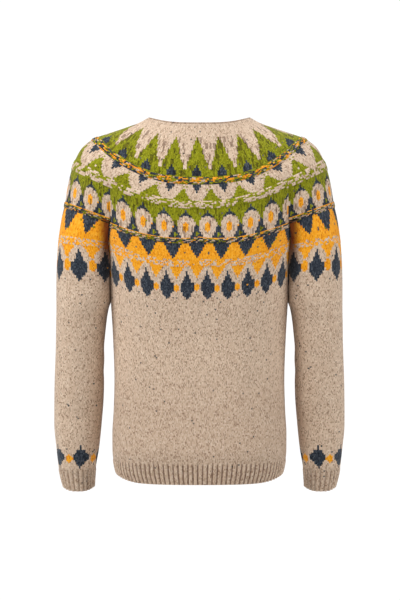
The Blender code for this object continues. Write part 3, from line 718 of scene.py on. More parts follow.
class KnitMesh:
    """Collects the faces of one piece, with the yarn, the tone and the painted shade of each
    stitch.
    """

    def __init__(self, name: str, seed: int) -> None:
        """Start an empty piece."""
        self.name = name
        self.rng = np.random.default_rng(seed)
        self.points: list[Array] = []
        self.quads: list[Array] = []
        self.yarns: list[Array] = []
        self.shades: list[Array] = []
        self.coords: list[Array] = []
        self.count = 0

    def add_grid(
        self, points: Array, yarns: Array, coords: Array, facing: int,
        keep: Array | None = None, shade: Array | float = 0.0,
    ) -> None:
        """Add a grid of points as quads.

        Args:
            points: Rows by columns of points.
            yarns: Yarn of each quad.
            coords: Stitch and row numbers of each point.
            facing: 1, or -1 to turn the faces over.
            keep: Which quads to keep, or None for all.
            shade: How much painted shade each quad gets, 0 to 1.
        """
        rows, columns = points.shape[:2]
        number = np.arange(rows * columns).reshape(rows, columns) + self.count
        corners = [number[:-1, :-1], number[:-1, 1:], number[1:, 1:], number[1:, :-1]]
        quads = np.stack(corners[::facing], axis=-1).reshape(-1, 4)
        kept = slice(None) if keep is None else keep.reshape(-1)
        self.points.append(points.reshape(-1, 3))
        self.coords.append(coords.reshape(-1, 2))
        self.quads.append(quads[kept])
        self.yarns.append(yarns.reshape(-1)[kept])
        self.shades.append(np.broadcast_to(shade, yarns.shape).reshape(-1)[kept])
        self.count += rows * columns

    def add_strip(self, strip: Strip) -> None:
        """Knit a strip: two quads a stitch, with the middle of each knit stitch drawn down.

        Args:
            strip: The strip.
        """
        rows, columns = strip.yarns.shape
        half = np.arange(2 * columns + 1)
        across, down = np.meshgrid(strip.first + half / 2, np.arange(rows + 1.0))
        if strip.stitch is KNIT:
            middle = np.broadcast_to(half % 2 == 1, across.shape)
            lift = -V_HOLLOW * middle
            shown = down + V_DROP * (middle & (down > 0) & (down < rows))
        else:
            lift = PURL_BUMP * ((half[None, :] + 2 * np.arange(rows + 1)[:, None]) % 4 < 2)
            shown = down
        if strip.lift is not None:
            lift = lift + strip.lift(across, shown)
        points = strip.place(across, shown) + lift[..., None] * strip.normals(across, shown)
        # Painted shade: random over the stitches, and the strip's own painted shade rule on top
        shade = strip.painted_shade * self.rng.random((rows, 2 * columns))
        if strip.shade is not None:
            shade += strip.shade(across[:-1, :-1] + 0.25, down[:-1, :-1] + 0.5)
        yarns = np.repeat(strip.yarns, 2, axis=1)
        coords = np.stack([across, down], axis=-1)
        self.add_grid(points, yarns, coords, strip.facing, strip.kept(across, shown), shade)

    def build(self, finish: "Finish", weld: bool = False) -> bpy.types.Object:
        """Make the object.

        Args:
            finish: The piece's finish.
            weld: Join points that lie on each other.

        Returns:
            The new object, linked to the scene.
        """
        quads = np.concatenate(self.quads)
        used, flat = np.unique(quads, return_inverse=True)
        mesh = bpy.data.meshes.new(self.name)
        mesh.vertices.add(len(used))
        mesh.vertices.foreach_set("co", np.concatenate(self.points)[used].ravel())
        mesh.loops.add(quads.size)
        mesh.loops.foreach_set("vertex_index", flat.ravel().astype(np.int32))
        mesh.polygons.add(len(quads))
        mesh.polygons.foreach_set("loop_start", np.arange(0, quads.size, 4, dtype=np.int32))
        mesh.update(calc_edges=True)
        layer = mesh.uv_layers.new(name="Stitches")
        coords = np.concatenate(self.coords)[quads.ravel()]
        layer.uv.foreach_set("vector", coords.astype(np.float32).ravel())
        for name, values in (
            ("yarn", np.concatenate(self.yarns)),
            ("tone", self.tones(len(quads))),
            ("shade", np.clip(np.concatenate(self.shades), 0, 1)),
        ):
            layer = mesh.attributes.new(name, "FLOAT", "FACE")
            layer.data.foreach_set("value", values.astype(np.float32))
        if weld:
            shape = bmesh.new()
            shape.from_mesh(mesh)
            bmesh.ops.remove_doubles(shape, verts=shape.verts, dist=2e-5)
            shape.to_mesh(mesh)
            shape.free()
        mesh.shade_smooth()
        mesh.materials.append(finish.material())
        return link(self.name, mesh)

    def tones(self, count: int) -> Array:
        """Tone of each leg of a stitch: mostly middling, some dark flecks and some light ones."""
        steps = np.array([0.0, 0.22, 0.45, 0.60, 0.80, 1.0])
        shares = [0.07, 0.14, 0.27, 0.27, 0.17, 0.08]
        return steps[self.rng.choice(len(steps), size=count, p=shares)]


def linear(colour: Screen) -> tuple[float, float, float, float]:
    """A screen colour, 0 to 255 a channel, as a linear colour."""
    shares = [value / 255 for value in colour]
    return (*(s / 12.92 if s <= 0.04045 else ((s + 0.055) / 1.055) ** 2.4 for s in shares), 1.0)


class ShaderTree:
    """Small helper that adds and joins the nodes of a material or a group."""

    def __init__(self, tree: bpy.types.NodeTree) -> None:
        """Work on one node tree."""
        self.tree = tree

    def node(
        self, kind: str, inputs: dict[str | int, object] | None = None, **settings: object
    ) -> bpy.types.Node:
        """Add a node.

        Args:
            kind: The node's type.
            inputs: Outputs or values for its inputs, by name or number.
            settings: Its properties.

        Returns:
            The node.
        """
        made = self.tree.nodes.new(kind)
        made.location = (len(self.tree.nodes) * 180, 0)
        for name, value in settings.items():
            setattr(made, name, value)
        self.feed(made, inputs or {})
        return made

    def feed(self, node: bpy.types.Node, inputs: dict[str | int, object]) -> None:
        """Join outputs to a node's inputs, or set the inputs' own values."""
        for name, value in inputs.items():
            if isinstance(value, Socket):
                self.tree.links.new(value, node.inputs[name])
            else:
                node.inputs[name].default_value = value

    def math(self, operation: str, *values: object) -> Socket:
        """Work out one operation on outputs or numbers."""
        made = self.node("ShaderNodeMath", dict(enumerate(values)), operation=operation)
        return made.outputs[0]

    def wave(self, value: Socket, rate: float, power: float) -> Socket:
        """A row of rounded humps."""
        humps = self.math("ABSOLUTE", self.math("SINE", self.math("MULTIPLY", value, rate)))
        return self.math("POWER", humps, power)

    def mix(self, factor: object, first: object, second: object, blend: str = "MIX") -> Socket:
        """Mix two colours by a factor."""
        inputs = {"Factor": factor, 6: first, 7: second}
        made = self.node("ShaderNodeMix", inputs, data_type="RGBA", blend_type=blend)
        return made.outputs[2]

    def spread(self, value: Socket, low: float, high: float) -> Socket:
        """Stretch a range of values to 0 to 1."""
        inputs = {"Value": value, "From Min": low, "From Max": high}
        return self.node("ShaderNodeMapRange", inputs).outputs["Result"]

    def texture(self, kind: str, **inputs: object) -> Socket:
        """A texture that stays with the object."""
        place = self.node("ShaderNodeTexCoord").outputs["Object"]
        return self.node(kind, {"Vector": place} | inputs).outputs["Fac"]

    def steps(self, place: Socket, colours: list[tuple[float, ...]]) -> Socket:
        """A ramp with one flat step for each yarn."""
        made = self.node("ShaderNodeValToRGB", {"Fac": place})
        ramp = made.color_ramp
        ramp.interpolation = "CONSTANT"
        while len(ramp.elements) < len(colours):
            ramp.elements.new(0.5)
        for i, colour in enumerate(colours):
            ramp.elements[i].position = max(0.0, (i - 0.5) / (len(colours) - 1))
            ramp.elements[i].color = colour
        return made.outputs["Color"]


def shader_group(
    name: str, inputs: tuple[str, ...], output: tuple[str, str],
    fill: Callable[[ShaderTree, bpy.types.NodeOutputs], Socket],
) -> bpy.types.NodeTree:
    """A group of shader nodes, made once for each name.

    Args:
        name: The group's name.
        inputs: Names of its number inputs.
        output: Name and socket type of its output.
        fill: Adds the nodes between the inputs and the output.

    Returns:
        The group.
    """
    if name in bpy.data.node_groups:
        return bpy.data.node_groups[name]
    group = bpy.data.node_groups.new(name, "ShaderNodeTree")
    for socket in inputs:
        group.interface.new_socket(name=socket, in_out="INPUT", socket_type="NodeSocketFloat")
    group.interface.new_socket(name=output[0], in_out="OUTPUT", socket_type=output[1])
    nodes = ShaderTree(group)
    made = fill(nodes, nodes.node("NodeGroupInput").outputs)
    nodes.node("NodeGroupOutput", {output[0]: made})
    return group


# The dark, middle and light strands of each yarn, and the tint of painted shade
YARN_STRANDS: dict[Yarn, tuple[Screen, Screen, Screen]] = {
    BEIGE: ((158, 128, 105), (213, 186, 161), (234, 214, 192)),
    GREEN: ((80, 82, 3), (133, 134, 7), (161, 163, 33)),
    ORANGE: ((218, 121, 14), (250, 166, 26), (255, 190, 62)),
    NAVY: ((28, 34, 44), (46, 53, 64), (84, 91, 101)),
    GREY: ((62, 60, 60), (92, 86, 82), (132, 122, 112)),
}
PAINTED_SHADE_TINT = (112, 80, 62)


def strand_colour(nodes: ShaderTree, given: bpy.types.NodeOutputs) -> Socket:
    """Colour of the stranded yarns, from the yarn's number, its tone and its painted shade."""
    place = nodes.math("DIVIDE", given["Yarn"], float(len(Yarn) - 1))
    dark, middle, light = (
        nodes.steps(place, [linear(YARN_STRANDS[yarn][part]) for yarn in Yarn]) for part in range(3)
    )
    fibre = nodes.texture("ShaderNodeTexNoise", Detail=3.0, Scale=given["Fibre Scale"])
    tone = nodes.math("ADD", given["Tone"], nodes.math("MULTIPLY_ADD", fibre, 0.9, -0.45))
    half = nodes.mix(nodes.spread(tone, 0.0, 0.45), dark, middle)
    full = nodes.mix(nodes.spread(tone, 0.55, 1.05), half, light)
    # Painted shade: the Shade attribute multiplies the colour by the dark tint
    return nodes.mix(given["Shade"], full, linear(PAINTED_SHADE_TINT), "MULTIPLY")


def stitch_height(nodes: ShaderTree, given: bpy.types.NodeOutputs) -> Socket:
    """Height of the knit: two rounded legs to a stitch, and fine fibres over them."""
    layer = nodes.node("ShaderNodeUVMap", uv_map="Stitches").outputs["UV"]
    parts = nodes.node("ShaderNodeSeparateXYZ", {0: layer}).outputs
    legs = nodes.wave(parts["X"], 2 * math.pi, 0.6)
    rounded = nodes.math("MULTIPLY", legs, nodes.wave(parts["Y"], math.pi, 0.35))
    fibre = nodes.texture("ShaderNodeTexNoise", Detail=4.0, Scale=given["Fibre Scale"])
    return nodes.math("ADD", rounded, nodes.math("MULTIPLY", fibre, given["Fibre Amount"]))


@dataclass(frozen=True)
class Finish:
    """A procedural finish; each kind of finish gives the inputs of its shader."""

    name: str

    def material(self) -> bpy.types.Material:
        """The material, made once for each name."""
        if self.name in bpy.data.materials:
            return bpy.data.materials[self.name]
        made = bpy.data.materials.new(self.name)
        made.use_nodes = True
        nodes = ShaderTree(made.node_tree)
        nodes.feed(made.node_tree.nodes["Principled BSDF"], self.inputs(nodes))
        return made

    def inputs(self, nodes: ShaderTree) -> dict[str | int, object]:
        """Add the finish's nodes and give the inputs of the shader."""
        raise NotImplementedError


@dataclass(frozen=True)
class KnitFinish(Finish):
    """Matte wool of a piece, in the yarns that its stitches name."""

    fibre_scale: float = 900.0
    fibre_amount: float = 0.5
    relief: float = 0.0004
    sheen: float = 0.12

    def inputs(self, nodes: ShaderTree) -> dict[str | int, object]:
        """Strands from the faces' own numbers, over a bump of stitches."""
        strands = {"Fibre Scale": self.fibre_scale} | {
            name: nodes.node("ShaderNodeAttribute", attribute_name=name.lower()).outputs["Fac"]
            for name in ("Yarn", "Tone", "Shade")
        }
        colours = shader_group(
            "Stranded Yarn", ("Yarn", "Tone", "Shade", "Fibre Scale"),
            ("Color", "NodeSocketColor"), strand_colour,
        )
        heights = shader_group(
            "Stitch Legs", ("Fibre Scale", "Fibre Amount"), ("Height", "NodeSocketFloat"),
            stitch_height,
        )
        legs = {"Fibre Scale": self.fibre_scale * 2, "Fibre Amount": self.fibre_amount}
        colour = nodes.node("ShaderNodeGroup", node_tree=colours)
        nodes.feed(colour, strands)
        height = nodes.node("ShaderNodeGroup", node_tree=heights)
        nodes.feed(height, legs)
        bump = {"Strength": 0.8, "Distance": self.relief, "Height": height.outputs["Height"]}
        return {
            "Base Color": colour.outputs["Color"],
            "Normal": nodes.node("ShaderNodeBump", bump).outputs["Normal"],
            "Roughness": 0.92,
            "Sheen Weight": self.sheen,
            "Sheen Roughness": 0.5,
            "Specular IOR Level": 0.15,
        }


@dataclass(frozen=True)
class HornFinish(Finish):
    """Polished horn with soft brown clouding."""

    def inputs(self, nodes: ShaderTree) -> dict[str | int, object]:
        """Clouds of two browns under a thin polish."""
        cloud = nodes.texture("ShaderNodeTexNoise", Scale=160.0, Detail=5.0, Distortion=1.4)
        tone = nodes.spread(cloud, 0.4, 0.68)
        colour = nodes.mix(tone, linear((38, 26, 20)), linear((96, 66, 44)))
        return {"Base Color": colour, "Roughness": 0.28, "Coat Weight": 0.4}


@dataclass(frozen=True)
class ThreadFinish(Finish):
    """Dull brown sewing thread."""

    def inputs(self, nodes: ShaderTree) -> dict[str | int, object]:
        """Twisted strands of two browns."""
        twist = nodes.texture("ShaderNodeTexWave", Scale=900.0, Distortion=2.0)
        colour = nodes.mix(twist, linear((120, 96, 74)), linear((176, 152, 126)))
        return {"Base Color": colour, "Roughness": 0.8}


@dataclass(frozen=True)
class FloorFinish(Finish):
    """Plain pale floor."""

    def inputs(self, nodes: ShaderTree) -> dict[str | int, object]:
        """Two near whites in soft patches."""
        grain = nodes.node("ShaderNodeTexNoise", {"Scale": 6.0}).outputs["Fac"]
        colour = nodes.mix(grain, (0.86, 0.86, 0.855, 1), (0.90, 0.90, 0.895, 1))
        return {"Base Color": colour, "Roughness": 0.9}


WOOL = KnitFinish("yoke_and_body_wool")
RIBBED = KnitFinish("ribbed_wool", relief=0.0005)
WRONG_SIDE = KnitFinish("wrong_side_wool", fibre_amount=0.8, relief=0.0006, sheen=0.05)
HORN = HornFinish("button_horn")
THREAD = ThreadFinish("button_thread")


@dataclass
class KnitPiece:
    """A knitted piece of the garment, the solid it stands for and the cut it was knitted to."""

    node: str
    slot: str
    flat: Pair
    area: float
    seed: int
    rests_on: tuple[str, ...] = ()
    finish: KnitFinish = WOOL
    right: KnitMesh = field(init=False)
    wrong: KnitMesh = field(init=False)

    def __post_init__(self) -> None:
        """Start the right side and the wrong side."""
        self.right = KnitMesh(self.node + "_knit", self.seed)
        self.wrong = KnitMesh(self.node + "_wrong_side", self.seed + 500)

    def knit(
        self, place: Place, first: int, motif: Motif | Mottle, columns: int,
        mirror: bool = False, shift: int = 0, stitch: Stitch = KNIT, **rules: Place,
    ) -> Strip:
        """Knit a strip of the right side, and the wrong side behind it.

        Args:
            place: The strip's place rule, on the wearer's left.
            first: Number of its first stitch.
            motif: What is knitted.
            columns: Stitches in the strip.
            mirror: True to move it to the wearer's right.
            shift: Stitches that are added to the numbers in the motif.
            stitch: How its face is knitted.
            rules: Its lift, keep and shade, where it has them.

        Returns:
            The strip.
        """
        yarns = motif.paint(columns, first + shift, self.right.rng)
        facing = -1 if mirror else 1
        side = np.array([facing, 1.0, 1.0])

        def moved(rule: Place) -> Place:
            """The rule for the motif's numbers."""
            return lambda across, down: rule(across - shift, down)

        strip = Strip(
            moved(lambda across, down: place(across, down) * side), first + shift, yarns, facing,
            stitch, motif.painted_shade, **{name: moved(rule) for name, rule in rules.items()},
        )
        self.right.add_strip(strip)
        self.line(strip)
        return strip

    def line(self, strip: Strip) -> None:
        """Add the wrong side of a strip, coarser, as deep as the cloth is thick.

        Args:
            strip: The strip on the right side.
        """
        rows, columns = strip.yarns.shape
        across = strip.first + np.linspace(0, columns, max(2, columns // 2 + 1))
        across, down = np.meshgrid(across, np.linspace(0, rows, max(2, rows // 2 + 1)))
        points = strip.place(across, down) - WALL * strip.normals(across, down)
        column = np.clip((across[:-1, :-1] - strip.first + 1).astype(int), 0, columns - 1)
        row = np.clip((down[:-1, :-1] + 1).astype(int), 0, rows - 1)
        coords = np.stack([across, down], axis=-1)
        kept = strip.kept(across, down)
        self.wrong.add_grid(points, strip.yarns[row, column], coords, -strip.facing, kept)

    def rim(self, strip: Strip, across: Array, down: float, lift: Array | float = 0.0) -> None:
        """Close the cloth's thickness along a free edge that runs across the strip.

        Args:
            strip: The strip.
            across: Stitches along the edge.
            down: The edge's row.
            lift: How far the right side stands up along the edge.
        """
        level = np.full_like(across, down)
        point = strip.place(across, level)
        normal = strip.normals(across, level)
        raised = point + (np.zeros_like(across) + lift)[:, None] * normal
        edges = [point - WALL * normal, raised]
        grid = np.stack(edges if down == 0 else edges[::-1])
        coords = np.stack([np.stack([across, level], axis=-1)] * 2)
        self.wrong.add_grid(grid, np.zeros((1, len(across) - 1)), coords, strip.facing)

    def finish_piece(self) -> None:
        """Make both sides, hang them on the root, and hide the solid that they stand for."""
        right = self.right.build(self.finish)
        wrong = self.wrong.build(WRONG_SIDE)
        for piece in (right, wrong):
            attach(piece, "root")
        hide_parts(self.node)
        log.info("%s: %d faces", right.name, len(right.data.polygons))


@dataclass
class Yoke:
    """The round yoke: rings of colourwork between purl ridges, open at the front."""

    repeats_round: float = 19.6
    spread_rows: Pair = (1.25, 3.60)
    fore_evenness: float = 0.85
    back_stitches: int = 52
    sleeve_stitches: int = 80
    front_stitches: int = 47
    flower_offsets: tuple[int, ...] = (5, 2, -1, 6, 5)
    ridge_rows: tuple[float, ...] = (4.02, 5.90, 8.0)
    ridge_half_rows: tuple[float, ...] = (0.26, 0.29, 0.16)

    def even_ring(self, repeat: int, spread: tuple[float, ...]) -> tuple[Place, int, int]:
        """A ring whose repeats widen towards the shoulder.

        Args:
            repeat: Stitches in a repeat.
            spread: Degrees of the first repeat at the ring's upper and lower edge, and how much
                they grow with the cube of the repeat's number there.

        Returns:
            The ring angle in degrees for stitches and yoke rows, the first stitch and the count.
        """
        whole = int(round((self.repeats_round / 2 - 0.2) * repeat))
        top, low = self.spread_rows
        even = self.fore_evenness

        def turn(across: Array, row: Array) -> Array:
            """Ring angle of each stitch."""
            near = np.abs(across) / repeat
            share = np.clip((row - top) / (low - top), 0, 1)
            rate = spread[0] + (spread[1] - spread[0]) * share
            growth = spread[2] + (spread[3] - spread[2]) * share
            shoulder = 90 / rate
            for _ in range(4):
                shoulder = (90 + 2 * growth * shoulder**3) / (rate + 3 * growth * shoulder**2)
            left = (whole / repeat - near) / (whole / repeat - shoulder)
            edge = FORM.front_ring(row)
            fore = edge - (edge - 90) * (even * left + (1 - even) * left**3)
            return np.where(near > shoulder, fore, rate * near + growth * near**3) * side_of(across)

        return turn, -whole, 2 * whole

    def relief(self, point: Array, row: Array) -> Array:
        """How far the purl ridges stand up and the seams beside the sleeves sink."""
        total = np.zeros_like(row)
        for middle, half in zip(self.ridge_rows, self.ridge_half_rows):
            total += RIDGE_RELIEF * np.sqrt(np.clip(1 - ((row - middle) / half) ** 2, 0, 1))
        distance = (np.abs(point[..., 0]) - JUNCTION_X) / SEAM_DIP_WIDTH
        return total - SEAM_DIP * soft_step((row - 4.2) / 0.4) * np.exp(-distance * distance)

    def strip(
        self, piece: KnitPiece, ring: tuple[Place, int, int], rows: Pair, sag: Pair,
        motif: Motif | Mottle, shift: int, stitch: Stitch, drawn: float = 0.0,
    ) -> None:
        """Knit one strip of the yoke.

        Args:
            piece: The yoke.
            ring: Ring angle in degrees for stitches and yoke rows, the first stitch, the count.
            rows: Yoke rows of the strip's upper and lower edges at the middle.
            sag: Shares of the lowest ring's sag that those edges take.
            motif: What is knitted.
            shift: Stitches that are added to the numbers in the motif.
            stitch: How its face is knitted.
            drawn: How many columns are drawn in, 0 to 1, with painted shade in their gaps.
        """
        turn, first, columns = ring
        run = 4

        def rows_at(across: Array, down: Array) -> tuple[Array, Array]:
            """Yoke row of each place, and the same before the ring sags."""
            share = down / motif.rows
            level = rows[0] + (rows[1] - rows[0]) * share
            sagging = FORM.sag(turn(across, level))
            return level + (sag[0] + (sag[1] - sag[0]) * share) * sagging, level

        def place(across: Array, down: Array) -> Array:
            """Points of the strip."""
            row, _ = rows_at(across, down)
            return FORM.ring(turn(across, row), row)

        def lift(across: Array, down: Array) -> Array:
            """Purl ridges up and seams down."""
            return self.relief(place(across, down), rows_at(across, down)[1])

        rng = np.random.default_rng(first + shift + 4000)
        gap_shade_draws = rng.random((columns * 2 + 4, motif.rows // run + 2))

        def shade(across: Array, down: Array) -> Array:
            """Painted shade in the gaps where a column of stitches is drawn in, as dark lines."""
            column = np.clip(np.round((across - first) * 2).astype(int), 0, columns * 2)
            value = gap_shade_draws[column, (down // run).astype(int)]
            return 0.6 * np.clip((value - 1 + drawn * 0.3) / 0.1, 0, 1)

        rules = {"lift": lift, "shade": shade} if drawn > 0 else {"lift": lift}
        piece.knit(place, first, motif, columns, shift=shift, stitch=stitch, **rules)

    def flower_rings(self) -> list[tuple[Place, int, int]]:
        """The flower ring's parts: front right, sleeve, back, sleeve, front left.

        Returns:
            For each part, its ring angle function, its first stitch in the pattern and its count.
        """
        back, sleeve, front = self.back_stitches, self.sleeve_stitches, self.front_stitches
        top = sleeve / 24

        def over_back(across: Array, row: Array) -> Array:
            """Ring angle on the back."""
            share = across / back
            return (0.957 * share + 0.043 * share**3) * FORM.seam_ring(row)

        def over_arm(across: Array, row: Array) -> Array:
            """Ring angle over the left arm; stitches count from the back seam."""
            place = across / 12
            near = np.where(place > top, 2 * top - place, place)
            share = (11.2 * near + near**2) / (11.2 * top + top**2)
            seam = FORM.seam_ring(row)
            angle = seam + (90 - seam) * share
            return np.where(place > top, 180 - angle, angle)

        def over_front(across: Array, row: Array) -> Array:
            """Ring angle on the left front; stitches count from the front seam."""
            start = 180 - FORM.seam_ring(row)
            return start + (FORM.front_ring(row) - start) * across / front

        def other_side(turn: Place) -> Place:
            """The same part on the wearer's right."""
            return lambda across, row: -turn(-across, row)

        return [
            (other_side(over_front), -front, front),
            (other_side(over_arm), -sleeve, sleeve),
            (over_back, -back, 2 * back),
            (over_arm, 0, sleeve),
            (over_front, 0, front),
        ]

    def build(self) -> None:
        """Knit the yoke from the neckband down."""
        piece = KnitPiece("yoke", "yoke_knit", (1.10, 0.20), 0.165, 11, ("neckband",))
        ring = self.even_ring(14, TEETH_SPREAD)
        # The last number is the share of columns drawn in, with painted shade in their gaps
        self.strip(piece, ring, (1.0, 1.25), (0, 0), plain(3), -1, KNIT, 0.2)
        self.strip(piece, ring, (1.25, 3.76), (0, 0), TEETH, -1, KNIT, 0.9)
        self.strip(piece, ring, (3.76, 4.28), (0, 0), DASHES, -1, PURL)
        ring = self.even_ring(16, TREE_SPREAD)
        self.strip(piece, ring, (4.28, 5.60), (0, 0.45), TREES, -1, KNIT)
        self.strip(piece, ring, (5.60, 6.17), (0.45, 0.45), TWIGS, -1, PURL)
        for ring, offset in zip(self.flower_rings(), self.flower_offsets):
            sag = 0 if ring[2] == self.sleeve_stitches else 1
            self.strip(piece, ring, (6.17, 7.86), (0.45, sag), FLOWERS, offset, KNIT, 0.5)
            self.strip(piece, ring, (7.86, 8.0), (sag, sag), FLECKED, 0, PURL)
        piece.finish_piece()


def lower_ridge(row_height: float) -> Place:
    """The lower half of the purl ridge below the yoke."""

    def lift(across: Array, down: Array) -> Array:
        """How far it stands up."""
        return RIDGE_RELIEF * np.sqrt(1 - np.clip(down * row_height / RIDGE_HEIGHT, 0, 1) ** 2)

    return lift


@dataclass
class BodyPanels:
    """The back and the two fronts, from the yoke's ring down to the hem's rib."""

    reference_height: float = -0.300
    edge_height: float = -0.4
    plain_rows: int = 114
    side_flattening: float = 0.0085
    dusk: tuple[float, float, float] = (0.15, -0.400, 0.100)
    levels: tuple[Pair, ...] = (
        (0.0, 0.0), (0.0052, 0.0), (0.0316, 0.0), (0.0430, 0.5), (0.0965, 1.0)
    )

    def __post_init__(self) -> None:
        """Measure the body's girth and the level of the yoke's ring all round it."""
        self.angles = np.linspace(0, math.pi, 721)
        path = FORM.body(self.angles, np.full_like(self.angles, self.reference_height))
        self.lengths = path_lengths(path)
        side = float(np.interp(math.pi / 2, self.angles, self.lengths))
        edge = float(np.interp(FORM.front_edge(self.edge_height), self.angles, self.lengths))
        self.side_stitches = int(round(side / STITCH_WIDTH))
        self.front_stitches = int(round((edge - side) / STITCH_WIDTH))
        self.stitch_lengths = (side, edge)
        self.ring = self.ring_levels()
        self.armhole = FORM.underarm(np.linspace(0, 1, 201))

    def ring_levels(self) -> tuple[Array, Array]:
        """Level of the ring by body angle, eased across the underarm.

        Returns:
            Body angles and the ring's heights there.
        """
        back = self.ring_edge(np.linspace(0, FORM.junction_back, 60))
        front = self.ring_edge(np.linspace(FORM.junction_front, math.pi, 60))
        back_angle = BODY.turn(back[:, 0], back[:, 2], True)
        front_angle = BODY.turn(front[:, 0], front[:, 2], False)
        span = front_angle[0] - back_angle[-1]
        middle = np.linspace(back_angle[-1], front_angle[0], 40)[1:-1]
        slopes = (
            (back[-1, 2] - back[-4, 2]) / (back_angle[-1] - back_angle[-4]),
            (front[3, 2] - front[0, 2]) / (front_angle[3] - front_angle[0]),
        )
        share = (middle - back_angle[-1]) / span
        eased = ease(share, span, (back[-1, 2], front[0, 2]), slopes)
        return (
            np.concatenate([back_angle, middle, front_angle]),
            np.concatenate([back[:, 2], eased, front[:, 2]]),
        )

    def ring_edge(self, angle: Array) -> Array:
        """Points of the lowest ring by yoke angle."""
        edge = FORM.yoke(angle, np.full_like(angle, LAST_ROW))
        share = np.clip(np.abs(edge[:, 0]) / YOKE.read("half_width", LAST_ROW), 0, 1)
        return FORM.skirt(angle, LAST_ROW + FORM.sag(np.degrees(np.arcsin(share))))

    def angle(self, across: Array, height: Array) -> Array:
        """Body angle of each stitch, which meets the front edge at every height.

        Args:
            across: Stitches from the middle of the back.
            height: Heights of the same places.

        Returns:
            Angles in radians.
        """
        count = np.abs(across)
        side, edge = self.stitch_lengths
        fore = (count - self.side_stitches) / self.front_stitches
        length = np.where(fore > 0, side + fore * (edge - side), count / self.side_stitches * side)
        angle = np.interp(length, self.lengths, self.angles)
        flat_edge = float(np.interp(edge, self.lengths, self.angles))
        stretch = (FORM.front_edge(height) - math.pi / 2) / (flat_edge - math.pi / 2)
        angle = np.where(fore > 0, math.pi / 2 + (angle - math.pi / 2) * stretch, angle)
        return angle * side_of(across)

    def level(self, angle: Array, drop: float, flatter: float) -> Array:
        """Height of a level below the yoke's ring, which hangs less steeply at the sides.

        Args:
            angle: Body angles.
            drop: How far it lies below the ring at the middle.
            flatter: How much of the flattening at the sides it takes, 0 to 1.

        Returns:
            The heights.
        """
        beside = soft_step((np.abs(np.sin(angle)) ** SIDE_POWER - 0.3) / 0.73)
        return np.interp(np.abs(angle), *self.ring) - drop - self.side_flattening * flatter * beside

    def panel(
        self, node: str, cut: tuple[Pair, float], seed: int, first: int, columns: int
    ) -> None:
        """Knit one panel from the ring to the rib.

        Args:
            node: The solid that it stands for.
            cut: Flat width and length, and area.
            seed: Seed of its tones.
            first: Number of its first stitch from the middle of the back.
            columns: Stitches in the panel.
        """
        piece = KnitPiece(node, "body_knit", *cut, seed, ("yoke",))
        mirror = node == "front_right"
        stack = (
            (FLECKED_BELOW, PURL), (PEAKS, KNIT), (FROST, PURL), (DIAMONDS, KNIT),
            (plain(self.plain_rows), KNIT),
        )
        edges = [lambda angle, level=level: self.level(angle, *level) for level in self.levels]
        edges.append(lambda angle: np.full_like(angle, HEM_RIB_TOP))
        for (motif, stitch), start, end in zip(stack, edges, edges[1:]):
            rules = self.rules(start, end, motif.rows)
            if motif is FLECKED_BELOW:
                rules["lift"] = lower_ridge(ROW_HEIGHT)
            shift = 0 if mirror else -1
            piece.knit(first=first, motif=motif, columns=columns, mirror=mirror, shift=shift,
                       stitch=stitch, **rules)
        piece.finish_piece()

    def rules(
        self, start: Callable[[Array], Array], end: Callable[[Array], Array], rows: int
    ) -> dict[str, Place]:
        """Places, kept parts and shade of a strip between two levels.

        Args:
            start: Height of the strip's upper edge by body angle.
            end: Height of its lower edge by body angle.
            rows: Rows in the strip.

        Returns:
            The strip's rules by name.
        """

        def places(across: Array, down: Array) -> tuple[Array, Array, Array]:
            """Angle, uncut height, and height of the armhole's seam, or 0 where there is none."""
            rough = self.angle(across, np.full_like(across, self.reference_height))
            top = start(rough)
            height = top + (end(rough) - top) * down / rows
            angle = self.angle(across, height)
            return angle, height, np.interp(np.abs(angle), *self.armhole, left=0.0, right=0.0)

        def place(across: Array, down: Array) -> Array:
            """Points of the strip."""
            angle, height, seam = places(across, down)
            return FORM.body(angle, np.where(seam < 0, np.minimum(height, seam), height))

        def keep(across: Array, down: Array) -> Array:
            """Which points aren't cut away at the armhole."""
            _, height, seam = places(across, down)
            return (seam >= 0) | (height < seam)

        def shade(across: Array, down: Array) -> Array:
            """The lower part of the body, which gets less light."""
            depth, top, reach = self.dusk
            return depth * soft_step((top - place(across, down)[..., 2]) / reach)

        return {"place": place, "keep": keep, "shade": shade}

    def build(self) -> None:
        """Knit the back and the two fronts."""
        side, front = self.side_stitches, self.front_stitches
        self.panel("back", ((0.42, 0.43), 0.142), 21, -side, 2 * side)
        self.panel("front_left", ((0.20, 0.40), 0.062), 22, side, front)
        self.panel("front_right", ((0.20, 0.40), 0.062), 23, side, front)


